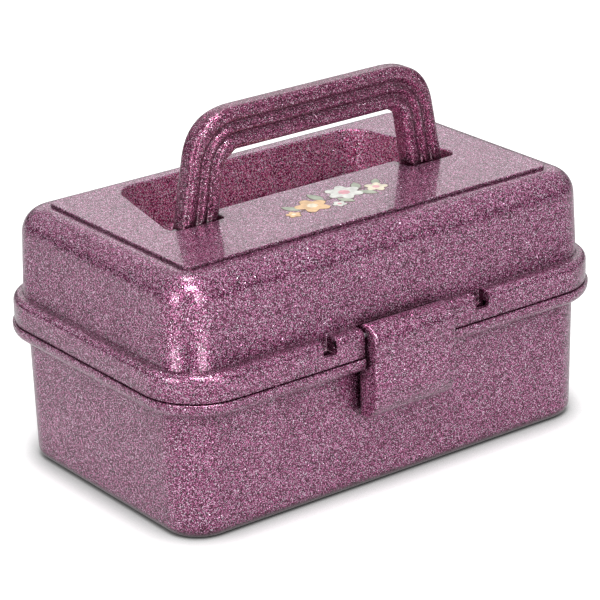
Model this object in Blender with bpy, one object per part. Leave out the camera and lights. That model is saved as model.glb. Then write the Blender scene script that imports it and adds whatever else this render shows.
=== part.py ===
"""A small moulded grooming case: a tub and a deep lid that meet at a thick flange.

A ribbed handle folds back into a recess in the lid, a hooded latch swings on a
pin in the lid's flange, and a tray rides up and back as the lid opens, carried
by the lid and by one arm at each end.

X runs along the case, the front looks along -Y, Z is up, and the origin is the
centre of the flat underside.
"""
import math

import bmesh
import bpy
from mathutils import Matrix, Vector

MM = 0.001
GAP = 0.3 * MM
ROUND_STEPS = 16
BOSS_STEPS = 24
CORNER_STEPS = 8
FILLET_STEPS = 5

# Flange that the tub and the lid share
FLANGE_LENGTH = 250.0 * MM
FLANGE_DEPTH = 159.2 * MM
FLANGE_CORNER = 30.5 * MM
WALL_CORNER = 19.0 * MM
WALL = 2.5 * MM
FLANGE_FRONT = -FLANGE_DEPTH / 2
FLANGE_BACK = FLANGE_DEPTH / 2

# Tub
BASE_HEIGHT = 68.8 * MM
BASE_INSET_END = 7.7 * MM
BASE_INSET_FRONT = 9.8 * MM
BASE_DRAFT = math.radians(1.1)
BASE_FOOT_RADIUS = 5.0 * MM
LIP_HEIGHT = 7.0 * MM
LIP_ROUND = 5.2 * MM
RIM_CHAMFER = 0.5 * MM
LIP_UNDERSIDE = BASE_HEIGHT - LIP_HEIGHT
BASE_FRONT = FLANGE_FRONT + BASE_INSET_FRONT

# Lid
LID_GAP = 0.4 * MM
LID_SET_BACK = 1.0 * MM
LID_INSET_END = 6.5 * MM
LID_INSET_FRONT = 8.6 * MM
LID_DRAFT = math.radians(2.5)
LID_FLANGE_HEIGHT = 12.9 * MM
LID_WALL_HEIGHT = 41.5 * MM
LID_FILLET = 12.3 * MM
FLANGE_TOP_ROUND = 3.4 * MM
PANEL_RISE = 1.5 * MM
PANEL_STEP = 1.7 * MM
PANEL_EDGE = 0.4 * MM
SEAM = BASE_HEIGHT + LID_GAP
LID_FOOT = SEAM + LID_FLANGE_HEIGHT
LID_TOP = LID_FOOT + LID_WALL_HEIGHT
PANEL_TOP = LID_TOP + PANEL_RISE
LID_FRONT = FLANGE_FRONT + LID_INSET_FRONT

# Tongue on the tub's rim and the groove under the lid's flange
GROOVE_INSET = 3.4 * MM
GROOVE_WIDTH = 3.0 * MM
GROOVE_ROOF = 5.4 * MM
GROOVE_DEPTH = LID_FLANGE_HEIGHT - GROOVE_ROOF
TONGUE_CLEARANCE = 0.5 * MM
TONGUE_HEIGHT = 3.0 * MM

# Handle
HANDLE_Y = -8.5 * MM
HANDLE_REACH = 55.5 * MM
HANDLE_WIDTH = 20.2 * MM
HANDLE_LEG_WIDTH = 18.9 * MM
HANDLE_FLARE = 0.9 * MM
HANDLE_THICK = 11.0 * MM
HANDLE_EDGE = 3.2 * MM
HANDLE_EDGE_STEPS = 4
HANDLE_FOOT_HALF = 65.9 * MM
HANDLE_LEAN = math.radians(9.8)
HANDLE_BEND = 17.4 * MM
HANDLE_BEND_SWELL = 2.3 * MM
HANDLE_BEND_STEPS = 7
HANDLE_GROOVES = (2.7 * MM, -2.9 * MM)
HANDLE_GROOVE_WIDTH = 3.2 * MM
HANDLE_GROOVE_DEPTH = 1.7 * MM
HANDLE_PIN_RADIUS = 2.2 * MM
HANDLE_PIN_HEAD_RADIUS = 3.6 * MM
HANDLE_PIN_HEAD = 1.4 * MM
HANDLE_BOSS_RADIUS = 3.9 * MM
HANDLE_BOSS_LENGTH = 12.0 * MM
HANDLE_PIN_BITE = 9.0 * MM
HANDLE_AXIS_Z = PANEL_TOP - GAP - HANDLE_THICK / 2
HANDLE_FOOT_WIDTH = HANDLE_LEG_WIDTH + HANDLE_FLARE
HANDLE_FOOT_REACH = HANDLE_FOOT_WIDTH / 2 * math.cos(HANDLE_LEAN)

# Handle recess in the lid
RECESS_FRONT_GAP = 0.8 * MM
RECESS_BACK_GAP = 3.0 * MM
RECESS_END_GAP = 7.4 * MM
RECESS_TAPER = 13.5 * MM
RECESS_DEPTH = 26.0 * MM
RECESS_DRAFT = 1.6 * MM
RECESS_WALL = 2.2 * MM
RECESS_BACK_RADIUS = 12.0 * MM
RECESS_FRONT_RADIUS = 5.0 * MM
PLATFORM_GAP = 2.4 * MM
PLATFORM_DEPTH = 11.8 * MM
PLATFORM_RADIUS = 1.5 * MM
RECESS_FRONT = HANDLE_Y - HANDLE_THICK / 2 - RECESS_FRONT_GAP
RECESS_BACK = HANDLE_Y + HANDLE_REACH + RECESS_BACK_GAP
RECESS_FRONT_HALF = HANDLE_FOOT_HALF + HANDLE_FOOT_REACH + RECESS_END_GAP
RECESS_BACK_HALF = RECESS_FRONT_HALF - RECESS_TAPER
PLATFORM_HALF = HANDLE_FOOT_HALF - HANDLE_FOOT_REACH - PLATFORM_GAP
PLATFORM_BACK = RECESS_FRONT + PLATFORM_DEPTH

# Latch
LATCH_SETBACK = 3.0 * MM
LATCH_BELOW_FOOT = 3.0 * MM
LATCH_HALF = 23.2 * MM
LATCH_SIDE_GAP = 1.6 * MM
LATCH_BARREL = 4.9 * MM
LATCH_FACE = 8.6 * MM
LATCH_DROP = 41.0 * MM
LATCH_CURL_START = 23.5 * MM
LATCH_CURL_STEPS = 6
LATCH_CHEEK = 2.8 * MM
LATCH_WEB = 2.6 * MM
LATCH_WALL_GAP = 2.0 * MM
LATCH_TOE_LIFT = 0.6 * MM
LATCH_SHOULDER_DROP = 1.5 * MM
LATCH_PIN_RADIUS = 1.2 * MM
LATCH_PIN_SET_IN = 1.5 * MM
LATCH_Y = FLANGE_FRONT + LATCH_SETBACK
LATCH_BACK = BASE_FRONT - LATCH_WALL_GAP
LATCH_Z = LID_FOOT - LATCH_BELOW_FOOT
BLOCK_START = LATCH_HALF + LATCH_SIDE_GAP
BLOCK_WIDTH = 15.4 * MM
NOTCH_START = BLOCK_START + BLOCK_WIDTH
NOTCH_WIDTH = 7.6 * MM
NOTCH_DEPTH = 7.1 * MM
CATCH_HALF = 17.0 * MM
CATCH_OUT = 4.4 * MM
CATCH_HEIGHT = 5.5 * MM
CATCH_CHAMFER = 1.0 * MM
CATCH_BELOW_SEAM = 2.8 * MM
CATCH_TOP = BASE_HEIGHT - CATCH_BELOW_SEAM
HOOK_HEIGHT = 4.0 * MM
HOOK_DROP = 1.0 * MM

# Hinge at the back
HINGE_OUT = 4.4 * MM
HINGE_ABOVE_SEAM = 0.7 * MM
HINGE_FROM_END = 53.0 * MM
KNUCKLE_RADIUS = 4.4 * MM
KNUCKLE_LID = 18.0 * MM
KNUCKLE_BASE = 10.0 * MM
KNUCKLE_GAP = 0.4 * MM
KNUCKLE_ROOM = 0.6 * MM
KNUCKLE_WEB = 8.0 * MM
HINGE_PIN_RADIUS = 1.5 * MM
HINGE_Y = FLANGE_BACK + HINGE_OUT
HINGE_Z = BASE_HEIGHT + HINGE_ABOVE_SEAM
HINGE_CENTRE = FLANGE_LENGTH / 2 - HINGE_FROM_END

# Tray and its linkage
CRANK_BACK = -46.0 * MM
CRANK_UP = 5.0 * MM
TRAY_FROM_END = 19.0 * MM
TRAY_FROM_FRONT = 16.6 * MM
TRAY_FROM_BACK = 25.6 * MM
TRAY_BELOW_HINGE = 19.5 * MM
TRAY_HEIGHT = 36.0 * MM
TRAY_WALL = 1.8 * MM
TRAY_DRAFT = math.radians(1.5)
TRAY_CORNER = 14.0 * MM
TRAY_FLOOR_ROUND = 4.0 * MM
TRAY_DIVIDERS = 2
DIVIDER_DROP = 6.0 * MM
DIVIDER_BITE = 0.3 * MM
TRAY_HALF = FLANGE_LENGTH / 2 - TRAY_FROM_END
TRAY_FRONT = FLANGE_FRONT + TRAY_FROM_FRONT
TRAY_BACK = FLANGE_BACK - TRAY_FROM_BACK
TRAY_BOTTOM = HINGE_Z - TRAY_BELOW_HINGE
TRAY_RIM = TRAY_BOTTOM + TRAY_HEIGHT
ARM_BEHIND_FRONT = 23.0 * MM
ARM_BELOW_SEAM = 5.8 * MM
ARM_WIDTH = 9.0 * MM
ARM_THICK = 2.5 * MM
ARM_OFFSET = 2.7 * MM
ARM_TRAY_Y = TRAY_FRONT + ARM_BEHIND_FRONT
ARM_TRAY_Z = BASE_HEIGHT - ARM_BELOW_SEAM
PIN_RADIUS = 2.0 * MM
PIN_HEAD_RADIUS = 3.2 * MM
PIN_HEAD = 1.2 * MM
PIN_BITE = 3.0 * MM
PIN_INSIDE = 1.0 * MM
BOSS_RADIUS = 4.3 * MM

COLOURS = {
    "shell": ((0.42, 0.16, 0.29, 1.0), 0.25, 0.0),
    "handle": ((0.33, 0.10, 0.21, 1.0), 0.25, 0.0),
    "tray": ((0.78, 0.62, 0.72, 1.0), 0.4, 0.0),
    "steel": ((0.62, 0.62, 0.64, 1.0), 0.3, 1.0),
}


# Objects, materials and Booleans

def clear_scene():
    for obj in list(bpy.data.objects):
        bpy.data.objects.remove(obj, do_unlink=True)


def material(name, look):
    colour, roughness, metallic = COLOURS[look]
    mat = bpy.data.materials.new(name)
    mat.use_nodes = True
    shader = mat.node_tree.nodes["Principled BSDF"]
    shader.inputs["Base Color"].default_value = colour
    shader.inputs["Roughness"].default_value = roughness
    shader.inputs["Metallic"].default_value = metallic
    return mat


def add_object(name, bm, look=None, pivot=(0.0, 0.0, 0.0)):
    """Turn a closed bmesh in case coordinates into an object with its origin at pivot."""
    bmesh.ops.recalc_face_normals(bm, faces=bm.faces)
    mesh = bpy.data.meshes.new(name)
    bm.transform(Matrix.Translation(-Vector(pivot)))
    bm.to_mesh(mesh)
    bm.free()
    obj = bpy.data.objects.new(name, mesh)
    obj.location = pivot
    bpy.context.scene.collection.objects.link(obj)
    if look:
        mesh.materials.append(material(name + "_material", look))
        mesh.shade_smooth()
        mesh.set_sharp_from_angle(angle=math.radians(32))
    return obj


def combine(target, bm, operation):
    """Cut the bmesh's shape from the target, or join it on."""
    tool = add_object(f"{target.name}_tool_{len(target.modifiers)}", bm)
    tool.parent = target
    tool.matrix_parent_inverse = Matrix.Translation(-target.location)
    tool.hide_render = True
    tool.display_type = "WIRE"
    modifier = target.modifiers.new(operation.lower(), "BOOLEAN")
    modifier.operation = operation
    modifier.object = tool
    modifier.solver = "EXACT"


def cut(target, bm):
    combine(target, bm, "DIFFERENCE")


def join(target, bm):
    combine(target, bm, "UNION")


# Closed shapes

def stack(rings):
    """Skin a list of rings that have the same number of points, and cap both ends."""
    bm = bmesh.new()
    rows = [[bm.verts.new(point) for point in ring] for ring in rings]
    count = len(rows[0])
    for lower, upper in zip(rows, rows[1:]):
        for i in range(count):
            j = (i + 1) % count
            bm.faces.new((lower[i], lower[j], upper[j], upper[i]))
    bm.faces.new(rows[0])
    bm.faces.new(rows[-1])
    return bm


def box(low, high):
    (x0, y0, z0), (x1, y1, z1) = low, high
    rings = [[(x0, y0, z), (x1, y0, z), (x1, y1, z), (x0, y1, z)] for z in (z0, z1)]
    return stack(rings)


def rod(x0, x1, y, z, radius, steps=ROUND_STEPS):
    """A cylinder along X."""
    turns = [2 * math.pi * i / steps for i in range(steps)]
    ring = [(y + radius * math.cos(t), z + radius * math.sin(t)) for t in turns]
    return stack([[(x, *point) for point in ring] for x in (x0, x1)])


def headed_rod(x_head, x_tip, y, z, radius, head_radius, head):
    """A pin along X with a flat round head at x_head."""
    way = math.copysign(1.0, x_tip - x_head)
    stations = [
        (x_head, head_radius),
        (x_head + way * head, head_radius),
        (x_head + way * head, radius),
        (x_tip, radius),
    ]
    turns = [2 * math.pi * i / ROUND_STEPS for i in range(ROUND_STEPS)]
    return stack([
        [(x, y + r * math.cos(t), z + r * math.sin(t)) for t in turns]
        for x, r in stations
    ])


def slab(outline_yz, x0, x1):
    """An outline in the YZ plane, drawn out along X."""
    return stack([[(x, y, z) for y, z in outline_yz] for x in (x0, x1)])


def plate(outline_xy, z0, z1, outline_low=None):
    """An outline in the XY plane, drawn up, or blended from a second outline below."""
    low = outline_low or outline_xy
    return stack([
        [(x, y, z0) for x, y in low],
        [(x, y, z1) for x, y in outline_xy],
    ])


def arc(centre_u, centre_v, radius, start, end, steps):
    """Points on an arc, angles in degrees."""
    points = []
    for i in range(steps + 1):
        t = math.radians(start + (end - start) * i / steps)
        points.append((centre_u + radius * math.cos(t), centre_v + radius * math.sin(t)))
    return points


def rounded_ring(half_x, half_y, radius, z, centre_y=0.0):
    """A rectangle with round corners, centred on X = 0."""
    cx = half_x - radius
    cy = half_y - radius
    points = []
    for sx, sy, start in ((1, 1, 0), (-1, 1, 90), (-1, -1, 180), (1, -1, 270)):
        points += arc(sx * cx, centre_y + sy * cy, radius, start, start + 90, CORNER_STEPS)
    return [(x, y, z) for x, y in points]


def case_ring(inset_end, inset_front, z, corner=None):
    """A ring of the case, set in from the flange's outer edge."""
    half_x = FLANGE_LENGTH / 2 - inset_end
    half_y = FLANGE_DEPTH / 2 - inset_front
    corner = corner or FLANGE_CORNER - inset_end
    return rounded_ring(half_x, half_y, corner, z)


def quarter(radius, steps=FILLET_STEPS):
    """Offsets along a quarter round, from (0, 0) to (radius, radius)."""
    pairs = []
    for i in range(steps + 1):
        t = math.pi / 2 * i / steps
        pairs.append((radius * math.sin(t), radius * (1 - math.cos(t))))
    return pairs


def offset_outline(points, distance):
    """Move each edge of a counter-clockwise outline inwards by distance."""
    moved = []
    count = len(points)
    for i in range(count):
        before = Vector(points[i - 1])
        here = Vector(points[i])
        after = Vector(points[(i + 1) % count])
        first = (here - before).normalized()
        second = (after - here).normalized()
        n1 = Vector((-first.y, first.x))
        n2 = Vector((-second.y, second.x))
        shift = (n1 + n2) * (distance / (1 + n1.dot(n2)))
        moved.append(tuple(here + shift))
    return moved


def round_outline(points, radii, steps=FILLET_STEPS):
    """Round each corner of an outline by its own radius."""
    result = []
    count = len(points)
    for i in range(count):
        here = Vector(points[i])
        to_before = (Vector(points[i - 1]) - here).normalized()
        to_after = (Vector(points[(i + 1) % count]) - here).normalized()
        half = to_before.angle(to_after) / 2
        radius = radii[i]
        centre = here + (to_before + to_after).normalized() * (radius / math.sin(half))
        start = here + to_before * (radius / math.tan(half)) - centre
        end = here + to_after * (radius / math.tan(half)) - centre
        turn = start.angle_signed(end)
        for k in range(steps + 1):
            result.append(tuple(centre + Matrix.Rotation(-turn * k / steps, 2) @ start))
    return result


# The tub and its rim

def base_ring(inward, z):
    """A ring of the tub's drafted wall, set in from its outer face."""
    inward += (LIP_UNDERSIDE - z) * math.tan(BASE_DRAFT)
    corner = WALL_CORNER - inward
    return case_ring(BASE_INSET_END + inward, BASE_INSET_FRONT + inward, z, corner)


def base_rings():
    rings = []
    for run, rise in quarter(BASE_FOOT_RADIUS):
        rings.append(base_ring(BASE_FOOT_RADIUS - run, rise))
    rings.append(base_ring(0, LIP_UNDERSIDE))
    for run, rise in quarter(LIP_ROUND):
        reach = LIP_ROUND - run
        rings.append(case_ring(reach, reach, LIP_UNDERSIDE + rise))
    rings.append(case_ring(0, 0, BASE_HEIGHT - RIM_CHAMFER))
    rings.append(case_ring(RIM_CHAMFER, RIM_CHAMFER, BASE_HEIGHT))
    outer = GROOVE_INSET + TONGUE_CLEARANCE
    inner = GROOVE_INSET + GROOVE_WIDTH - TONGUE_CLEARANCE
    top = BASE_HEIGHT + TONGUE_HEIGHT
    for inset, z in ((outer, BASE_HEIGHT), (outer, top), (inner, top), (inner, BASE_HEIGHT)):
        rings.append(case_ring(inset, inset, z))
    rings.append(base_ring(WALL, BASE_HEIGHT))
    inside = BASE_FOOT_RADIUS - WALL
    for run, rise in reversed(quarter(inside)):
        rings.append(base_ring(WALL + inside - run, WALL + rise))
    return rings


def hinge_web(x0, x1, low, high):
    """The shelf that carries a knuckle on a flange."""
    return box((x0, HINGE_Y - KNUCKLE_WEB, low), (x1, HINGE_Y, high))


def knuckle_spans(side):
    """X spans of one hinge's knuckles: the lid's, then the tub's two."""
    centre = side * HINGE_CENTRE
    lid = (centre - KNUCKLE_LID / 2, centre + KNUCKLE_LID / 2)
    left = (lid[0] - KNUCKLE_GAP - KNUCKLE_BASE, lid[0] - KNUCKLE_GAP)
    right = (lid[1] + KNUCKLE_GAP, lid[1] + KNUCKLE_GAP + KNUCKLE_BASE)
    return lid, (left, right)


def arm_plane():
    """X of the arms' inner face."""
    return TRAY_HALF + ARM_OFFSET


def arm_base_point():
    return ARM_TRAY_Y - CRANK_BACK, ARM_TRAY_Z - CRANK_UP


def tray_lid_point():
    return HINGE_Y + CRANK_BACK, HINGE_Z + CRANK_UP


def make_base():
    base = add_object("base_tub", stack(base_rings()), "shell")
    low = (-BLOCK_START, -FLANGE_DEPTH, LIP_UNDERSIDE - GAP)
    cut(base, box(low, (BLOCK_START, BASE_FRONT, BASE_HEIGHT + GAP)))
    half = NOTCH_START + NOTCH_WIDTH + TONGUE_HEIGHT
    high = (half, BASE_FRONT + WALL / 2, BASE_HEIGHT + 2 * TONGUE_HEIGHT)
    cut(base, box((-half, -FLANGE_DEPTH, BASE_HEIGHT), high))
    bottom = CATCH_TOP - CATCH_HEIGHT
    outline = [
        (BASE_FRONT + WALL / 2, CATCH_TOP),
        (BASE_FRONT - CATCH_OUT + CATCH_CHAMFER, CATCH_TOP),
        (BASE_FRONT - CATCH_OUT, CATCH_TOP - CATCH_CHAMFER),
        (BASE_FRONT - CATCH_OUT, bottom),
        (BASE_FRONT + WALL / 2, bottom),
    ]
    join(base, slab(outline, -CATCH_HALF, CATCH_HALF))
    for side in (-1, 1):
        lid_span, base_spans = knuckle_spans(side)
        room = (lid_span[0] - KNUCKLE_GAP, lid_span[1] + KNUCKLE_GAP)
        cut(base, rod(*room, HINGE_Y, HINGE_Z, KNUCKLE_RADIUS + KNUCKLE_ROOM, BOSS_STEPS))
        for span in base_spans:
            join(base, hinge_web(*span, LIP_UNDERSIDE + LIP_ROUND / 2, BASE_HEIGHT))
            join(base, rod(*span, HINGE_Y, HINGE_Z, KNUCKLE_RADIUS, BOSS_STEPS))
        hole = (base_spans[0][0] - GAP, base_spans[1][1] + GAP)
        cut(base, rod(*hole, HINGE_Y, HINGE_Z, HINGE_PIN_RADIUS + GAP))
        y, z = arm_base_point()
        face = arm_plane() + ARM_THICK + GAP
        end = base_wall_middle(z)
        join(base, rod(side * face, side * end, y, z, BOSS_RADIUS))
        tip = face + PIN_BITE + GAP
        cut(base, rod(side * (face - MM), side * tip, y, z, PIN_RADIUS + GAP))


def base_wall_middle(z):
    """X of the middle of the tub's end wall."""
    draft = (LIP_UNDERSIDE - z) * math.tan(BASE_DRAFT)
    return FLANGE_LENGTH / 2 - BASE_INSET_END - draft - WALL / 2


# The lid

def lid_ring(inward, z):
    """A ring of the lid's drafted wall, set in from its outer face."""
    draft = (min(z, LID_TOP - LID_FILLET) - LID_FOOT) * math.tan(LID_DRAFT)
    inward += max(draft, 0)
    corner = WALL_CORNER - inward
    return case_ring(LID_INSET_END + inward, LID_INSET_FRONT + inward, z, corner)


def lid_rings():
    rings = []
    step = LID_FILLET + PANEL_STEP
    rings.append(lid_ring(step + PANEL_EDGE, PANEL_TOP))
    rings.append(lid_ring(step, LID_TOP))
    for run, drop in quarter(LID_FILLET):
        rings.append(lid_ring(LID_FILLET - run, LID_TOP - drop))
    rings.append(lid_ring(0, LID_FOOT))
    for run, drop in quarter(FLANGE_TOP_ROUND):
        inward = LID_SET_BACK + FLANGE_TOP_ROUND - run
        rings.append(case_ring(inward, inward, LID_FOOT - drop))
    rings.append(case_ring(LID_SET_BACK, LID_SET_BACK, SEAM + RIM_CHAMFER))
    bottom_inset = LID_SET_BACK + RIM_CHAMFER
    rings.append(case_ring(bottom_inset, bottom_inset, SEAM))
    far = GROOVE_INSET + GROOVE_WIDTH
    top = SEAM + GROOVE_DEPTH
    for inset, z in ((GROOVE_INSET, SEAM), (GROOVE_INSET, top), (far, top), (far, SEAM)):
        rings.append(case_ring(inset, inset, z))
    rings.append(lid_ring(WALL, SEAM))
    inside = LID_FILLET - WALL
    for run, drop in reversed(quarter(inside)):
        rings.append(lid_ring(WALL + inside - run, LID_TOP - WALL - drop))
    return rings


def recess_outline(inset):
    corners = [
        (-PLATFORM_HALF, PLATFORM_BACK),
        (-PLATFORM_HALF, RECESS_FRONT),
        (-RECESS_FRONT_HALF, RECESS_FRONT),
        (-RECESS_BACK_HALF, RECESS_BACK),
        (RECESS_BACK_HALF, RECESS_BACK),
        (RECESS_FRONT_HALF, RECESS_FRONT),
        (PLATFORM_HALF, RECESS_FRONT),
        (PLATFORM_HALF, PLATFORM_BACK),
    ]
    corners.reverse()
    radii = [PLATFORM_RADIUS, PLATFORM_RADIUS, RECESS_FRONT_RADIUS, RECESS_BACK_RADIUS]
    radii = radii + radii[::-1]
    return round_outline(offset_outline(corners, inset), radii)


def make_lid():
    pivot = (0.0, HINGE_Y, HINGE_Z)
    lid = add_object("lid_shell", stack(lid_rings()), "shell", pivot)
    floor = PANEL_TOP - RECESS_DEPTH
    join(lid, plate(
        recess_outline(-RECESS_WALL), floor - RECESS_WALL, LID_TOP - WALL / 2,
        recess_outline(RECESS_DRAFT - RECESS_WALL)))
    cut(lid, plate(recess_outline(0), floor, PANEL_TOP + GAP, recess_outline(RECESS_DRAFT)))
    for side in (-1, 1):
        join(lid, rod(
            side * (PLATFORM_HALF - HANDLE_BOSS_LENGTH), side * (PLATFORM_HALF - RECESS_WALL / 2),
            HANDLE_Y, HANDLE_AXIS_Z, HANDLE_BOSS_RADIUS))
        cut(lid, rod(
            side * (PLATFORM_HALF - HANDLE_PIN_BITE - GAP), side * (PLATFORM_HALF + MM),
            HANDLE_Y, HANDLE_AXIS_Z, HANDLE_PIN_RADIUS + GAP))
        low_y = FLANGE_FRONT + LID_SET_BACK + GROOVE_INSET / 2
        xs = sorted((side * (BLOCK_START - MM), side * (NOTCH_START + MM)))
        join(lid, box(
            (xs[0], low_y, SEAM + RIM_CHAMFER),
            (xs[1], LID_FRONT + WALL / 2, LID_FOOT - FLANGE_TOP_ROUND)))
        xs = sorted((side * NOTCH_START, side * (NOTCH_START + NOTCH_WIDTH)))
        cut(lid, box(
            (xs[0], -FLANGE_DEPTH, LID_FOOT - NOTCH_DEPTH),
            (xs[1], LID_FRONT - GAP, LID_FOOT + MM)))
    cut(lid, box((-BLOCK_START, -FLANGE_DEPTH, 0), (BLOCK_START, LID_FRONT - GAP, LID_FOOT + MM)))
    pin_end = NOTCH_START + GAP
    cut(lid, rod(-pin_end, pin_end, LATCH_Y, LATCH_Z, LATCH_PIN_RADIUS + GAP))
    for side in (-1, 1):
        lid_span = knuckle_spans(side)[0]
        join(lid, hinge_web(*lid_span, SEAM + KNUCKLE_ROOM, LID_FOOT - FLANGE_TOP_ROUND))
        join(lid, rod(*lid_span, HINGE_Y, HINGE_Z, KNUCKLE_RADIUS, BOSS_STEPS))
        hole = (lid_span[0] - GAP, lid_span[1] + GAP)
        cut(lid, rod(*hole, HINGE_Y, HINGE_Z, HINGE_PIN_RADIUS + GAP))
        y, z = tray_lid_point()
        face = TRAY_HALF + GAP
        end = FLANGE_LENGTH / 2 - LID_INSET_END - WALL / 2
        join(lid, rod(side * face, side * end, y, z, BOSS_RADIUS))
        tip = face + PIN_BITE + GAP
        cut(lid, rod(side * (face - MM), side * tip, y, z, PIN_RADIUS + GAP))


# The handle and its pins

def handle_section(width):
    """Outward and forward offsets of the grooved bar, all round."""
    half_w = width / 2
    half_t = HANDLE_THICK / 2
    face = arc(half_w - HANDLE_EDGE, half_t - HANDLE_EDGE, HANDLE_EDGE, 0, 90, HANDLE_EDGE_STEPS)
    for centre in HANDLE_GROOVES:
        half = HANDLE_GROOVE_WIDTH / 2
        face.append((centre + half, half_t))
        face.append((centre, half_t - HANDLE_GROOVE_DEPTH))
        face.append((centre - half, half_t))
    face += arc(HANDLE_EDGE - half_w, half_t - HANDLE_EDGE, HANDLE_EDGE, 90, 180, HANDLE_EDGE_STEPS)
    return face + [(u, -v) for u, v in reversed(face)]


def bend_width(share):
    """Width of the bar on its way round a bend, where the inner fillet makes it wider."""
    plain = HANDLE_WIDTH + (HANDLE_LEG_WIDTH - HANDLE_WIDTH) * share
    return plain + HANDLE_BEND_SWELL * math.sin(math.pi * share) ** 2


def handle_path():
    """Centre line points, outward normals and widths in the XZ plane, from foot to foot."""
    bar_z = HANDLE_AXIS_Z + HANDLE_REACH - HANDLE_WIDTH / 2
    corner_x = HANDLE_FOOT_HALF - (bar_z - HANDLE_AXIS_Z) * math.tan(HANDLE_LEAN)
    turn = math.pi / 2 - HANDLE_LEAN
    reach = HANDLE_BEND * math.tan(turn / 2)
    centre = (corner_x - reach, bar_z - HANDLE_BEND)
    right = []
    for i in range(HANDLE_BEND_STEPS + 1):
        share = i / HANDLE_BEND_STEPS
        t = math.pi / 2 - turn * share
        normal = (math.cos(t), math.sin(t))
        place = (centre[0] + HANDLE_BEND * normal[0], centre[1] + HANDLE_BEND * normal[1])
        right.append((place, normal, bend_width(share)))
    right.append(((HANDLE_FOOT_HALF, HANDLE_AXIS_Z), right[-1][1], HANDLE_FOOT_WIDTH))
    left = [((-p[0], p[1]), (-n[0], n[1]), width) for p, n, width in reversed(right)]
    return left + right


def make_handle():
    rings = []
    for (x, z), (nx, nz), width in handle_path():
        section = handle_section(width)
        rings.append([(x + u * nx, HANDLE_Y - v, z + u * nz) for u, v in section])
    pivot = (0.0, HANDLE_Y, HANDLE_AXIS_Z)
    handle = add_object("carry_handle", stack(rings), "handle", pivot)
    inner = HANDLE_FOOT_HALF - HANDLE_FOOT_REACH
    outer = HANDLE_FOOT_HALF + HANDLE_FOOT_REACH
    for side in (-1, 1):
        join(handle, rod(
            side * inner, side * outer, HANDLE_Y, HANDLE_AXIS_Z, HANDLE_THICK / 2, BOSS_STEPS))
        cut(handle, rod(
            side * (inner - HANDLE_THICK / 2), side * (outer + HANDLE_THICK / 2),
            HANDLE_Y, HANDLE_AXIS_Z, HANDLE_PIN_RADIUS + GAP))


def make_handle_pins():
    for side, name in ((-1, "handle_pin_left"), (1, "handle_pin_right")):
        head_x = HANDLE_FOOT_HALF + HANDLE_FOOT_REACH + GAP + HANDLE_PIN_HEAD
        tip_x = PLATFORM_HALF - HANDLE_PIN_BITE
        bm = headed_rod(
            side * head_x, side * tip_x, HANDLE_Y, HANDLE_AXIS_Z,
            HANDLE_PIN_RADIUS, HANDLE_PIN_HEAD_RADIUS, HANDLE_PIN_HEAD)
        add_object(name, bm, "steel", (side * head_x, HANDLE_Y, HANDLE_AXIS_Z))


# The latch and its pin

def latch_outline(inset):
    """Side view of the latch's front face and its curled foot, top to bottom."""
    front = LATCH_Y - LATCH_FACE + inset
    curl_top = LATCH_Z - LATCH_CURL_START
    bottom = LATCH_Z - LATCH_DROP + inset
    back = LATCH_BACK - LATCH_TOE_LIFT * 2
    points = [(front, curl_top)]
    for i in range(1, LATCH_CURL_STEPS + 1):
        t = math.pi / 2 * i / LATCH_CURL_STEPS
        y = back + (front - back) * math.cos(t) ** 0.8
        points.append((y, curl_top + (bottom - curl_top) * math.sin(t)))
    return points





def make_latch():
    pivot = (0.0, LATCH_Y, LATCH_Z)
    shoulder = BASE_HEIGHT - LATCH_SHOULDER_DROP
    outline = arc(LATCH_Y, LATCH_Z, LATCH_BARREL, 0, 100, 7)
    outline.append((LATCH_Y - 0.64 * LATCH_BARREL, LATCH_Z + 0.86 * LATCH_BARREL))
    outline.append((LATCH_Y - 0.93 * LATCH_FACE, LATCH_Z + 0.45 * LATCH_BARREL))
    outline.append((LATCH_Y - LATCH_FACE, LATCH_Z - 0.2 * LATCH_BARREL))
    outline += latch_outline(0)
    toe = LATCH_Z - LATCH_DROP + LATCH_TOE_LIFT
    outline += [(LATCH_BACK, toe), (LATCH_BACK, shoulder)]
    latch = add_object("latch", slab(outline, -LATCH_HALF, LATCH_HALF), "shell", pivot)
    hollow = [(BASE_FRONT, shoulder), (LATCH_Y - LATCH_FACE + LATCH_WEB, shoulder)]
    hollow += latch_outline(LATCH_WEB)
    hollow.append((BASE_FRONT, LATCH_Z - LATCH_DROP + LATCH_WEB))
    half = LATCH_HALF - LATCH_CHEEK
    cut(latch, slab(hollow, -half, half))
    hook_top = CATCH_TOP - CATCH_HEIGHT - HOOK_DROP
    join(latch, box(
        (-CATCH_HALF, LATCH_Y - LATCH_FACE + LATCH_WEB / 2, hook_top - HOOK_HEIGHT),
        (CATCH_HALF, BASE_FRONT - CATCH_OUT - GAP, hook_top)))
    cut(latch, rod(
        -LATCH_HALF - MM, LATCH_HALF + MM, LATCH_Y, LATCH_Z, LATCH_PIN_RADIUS + GAP))


def make_latch_pin():
    end = NOTCH_START - LATCH_PIN_SET_IN
    bm = rod(-end, end, LATCH_Y, LATCH_Z, LATCH_PIN_RADIUS)
    add_object("latch_pin", bm, "steel", (0.0, LATCH_Y, LATCH_Z))


def make_hinge_pins():
    for side, name in ((-1, "hinge_pin_left"), (1, "hinge_pin_right")):
        base_spans = knuckle_spans(side)[1]
        bm = rod(base_spans[0][0], base_spans[1][1], HINGE_Y, HINGE_Z, HINGE_PIN_RADIUS)
        add_object(name, bm, "steel", (side * HINGE_CENTRE, HINGE_Y, HINGE_Z))


# The tray, its arms and their pins

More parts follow.
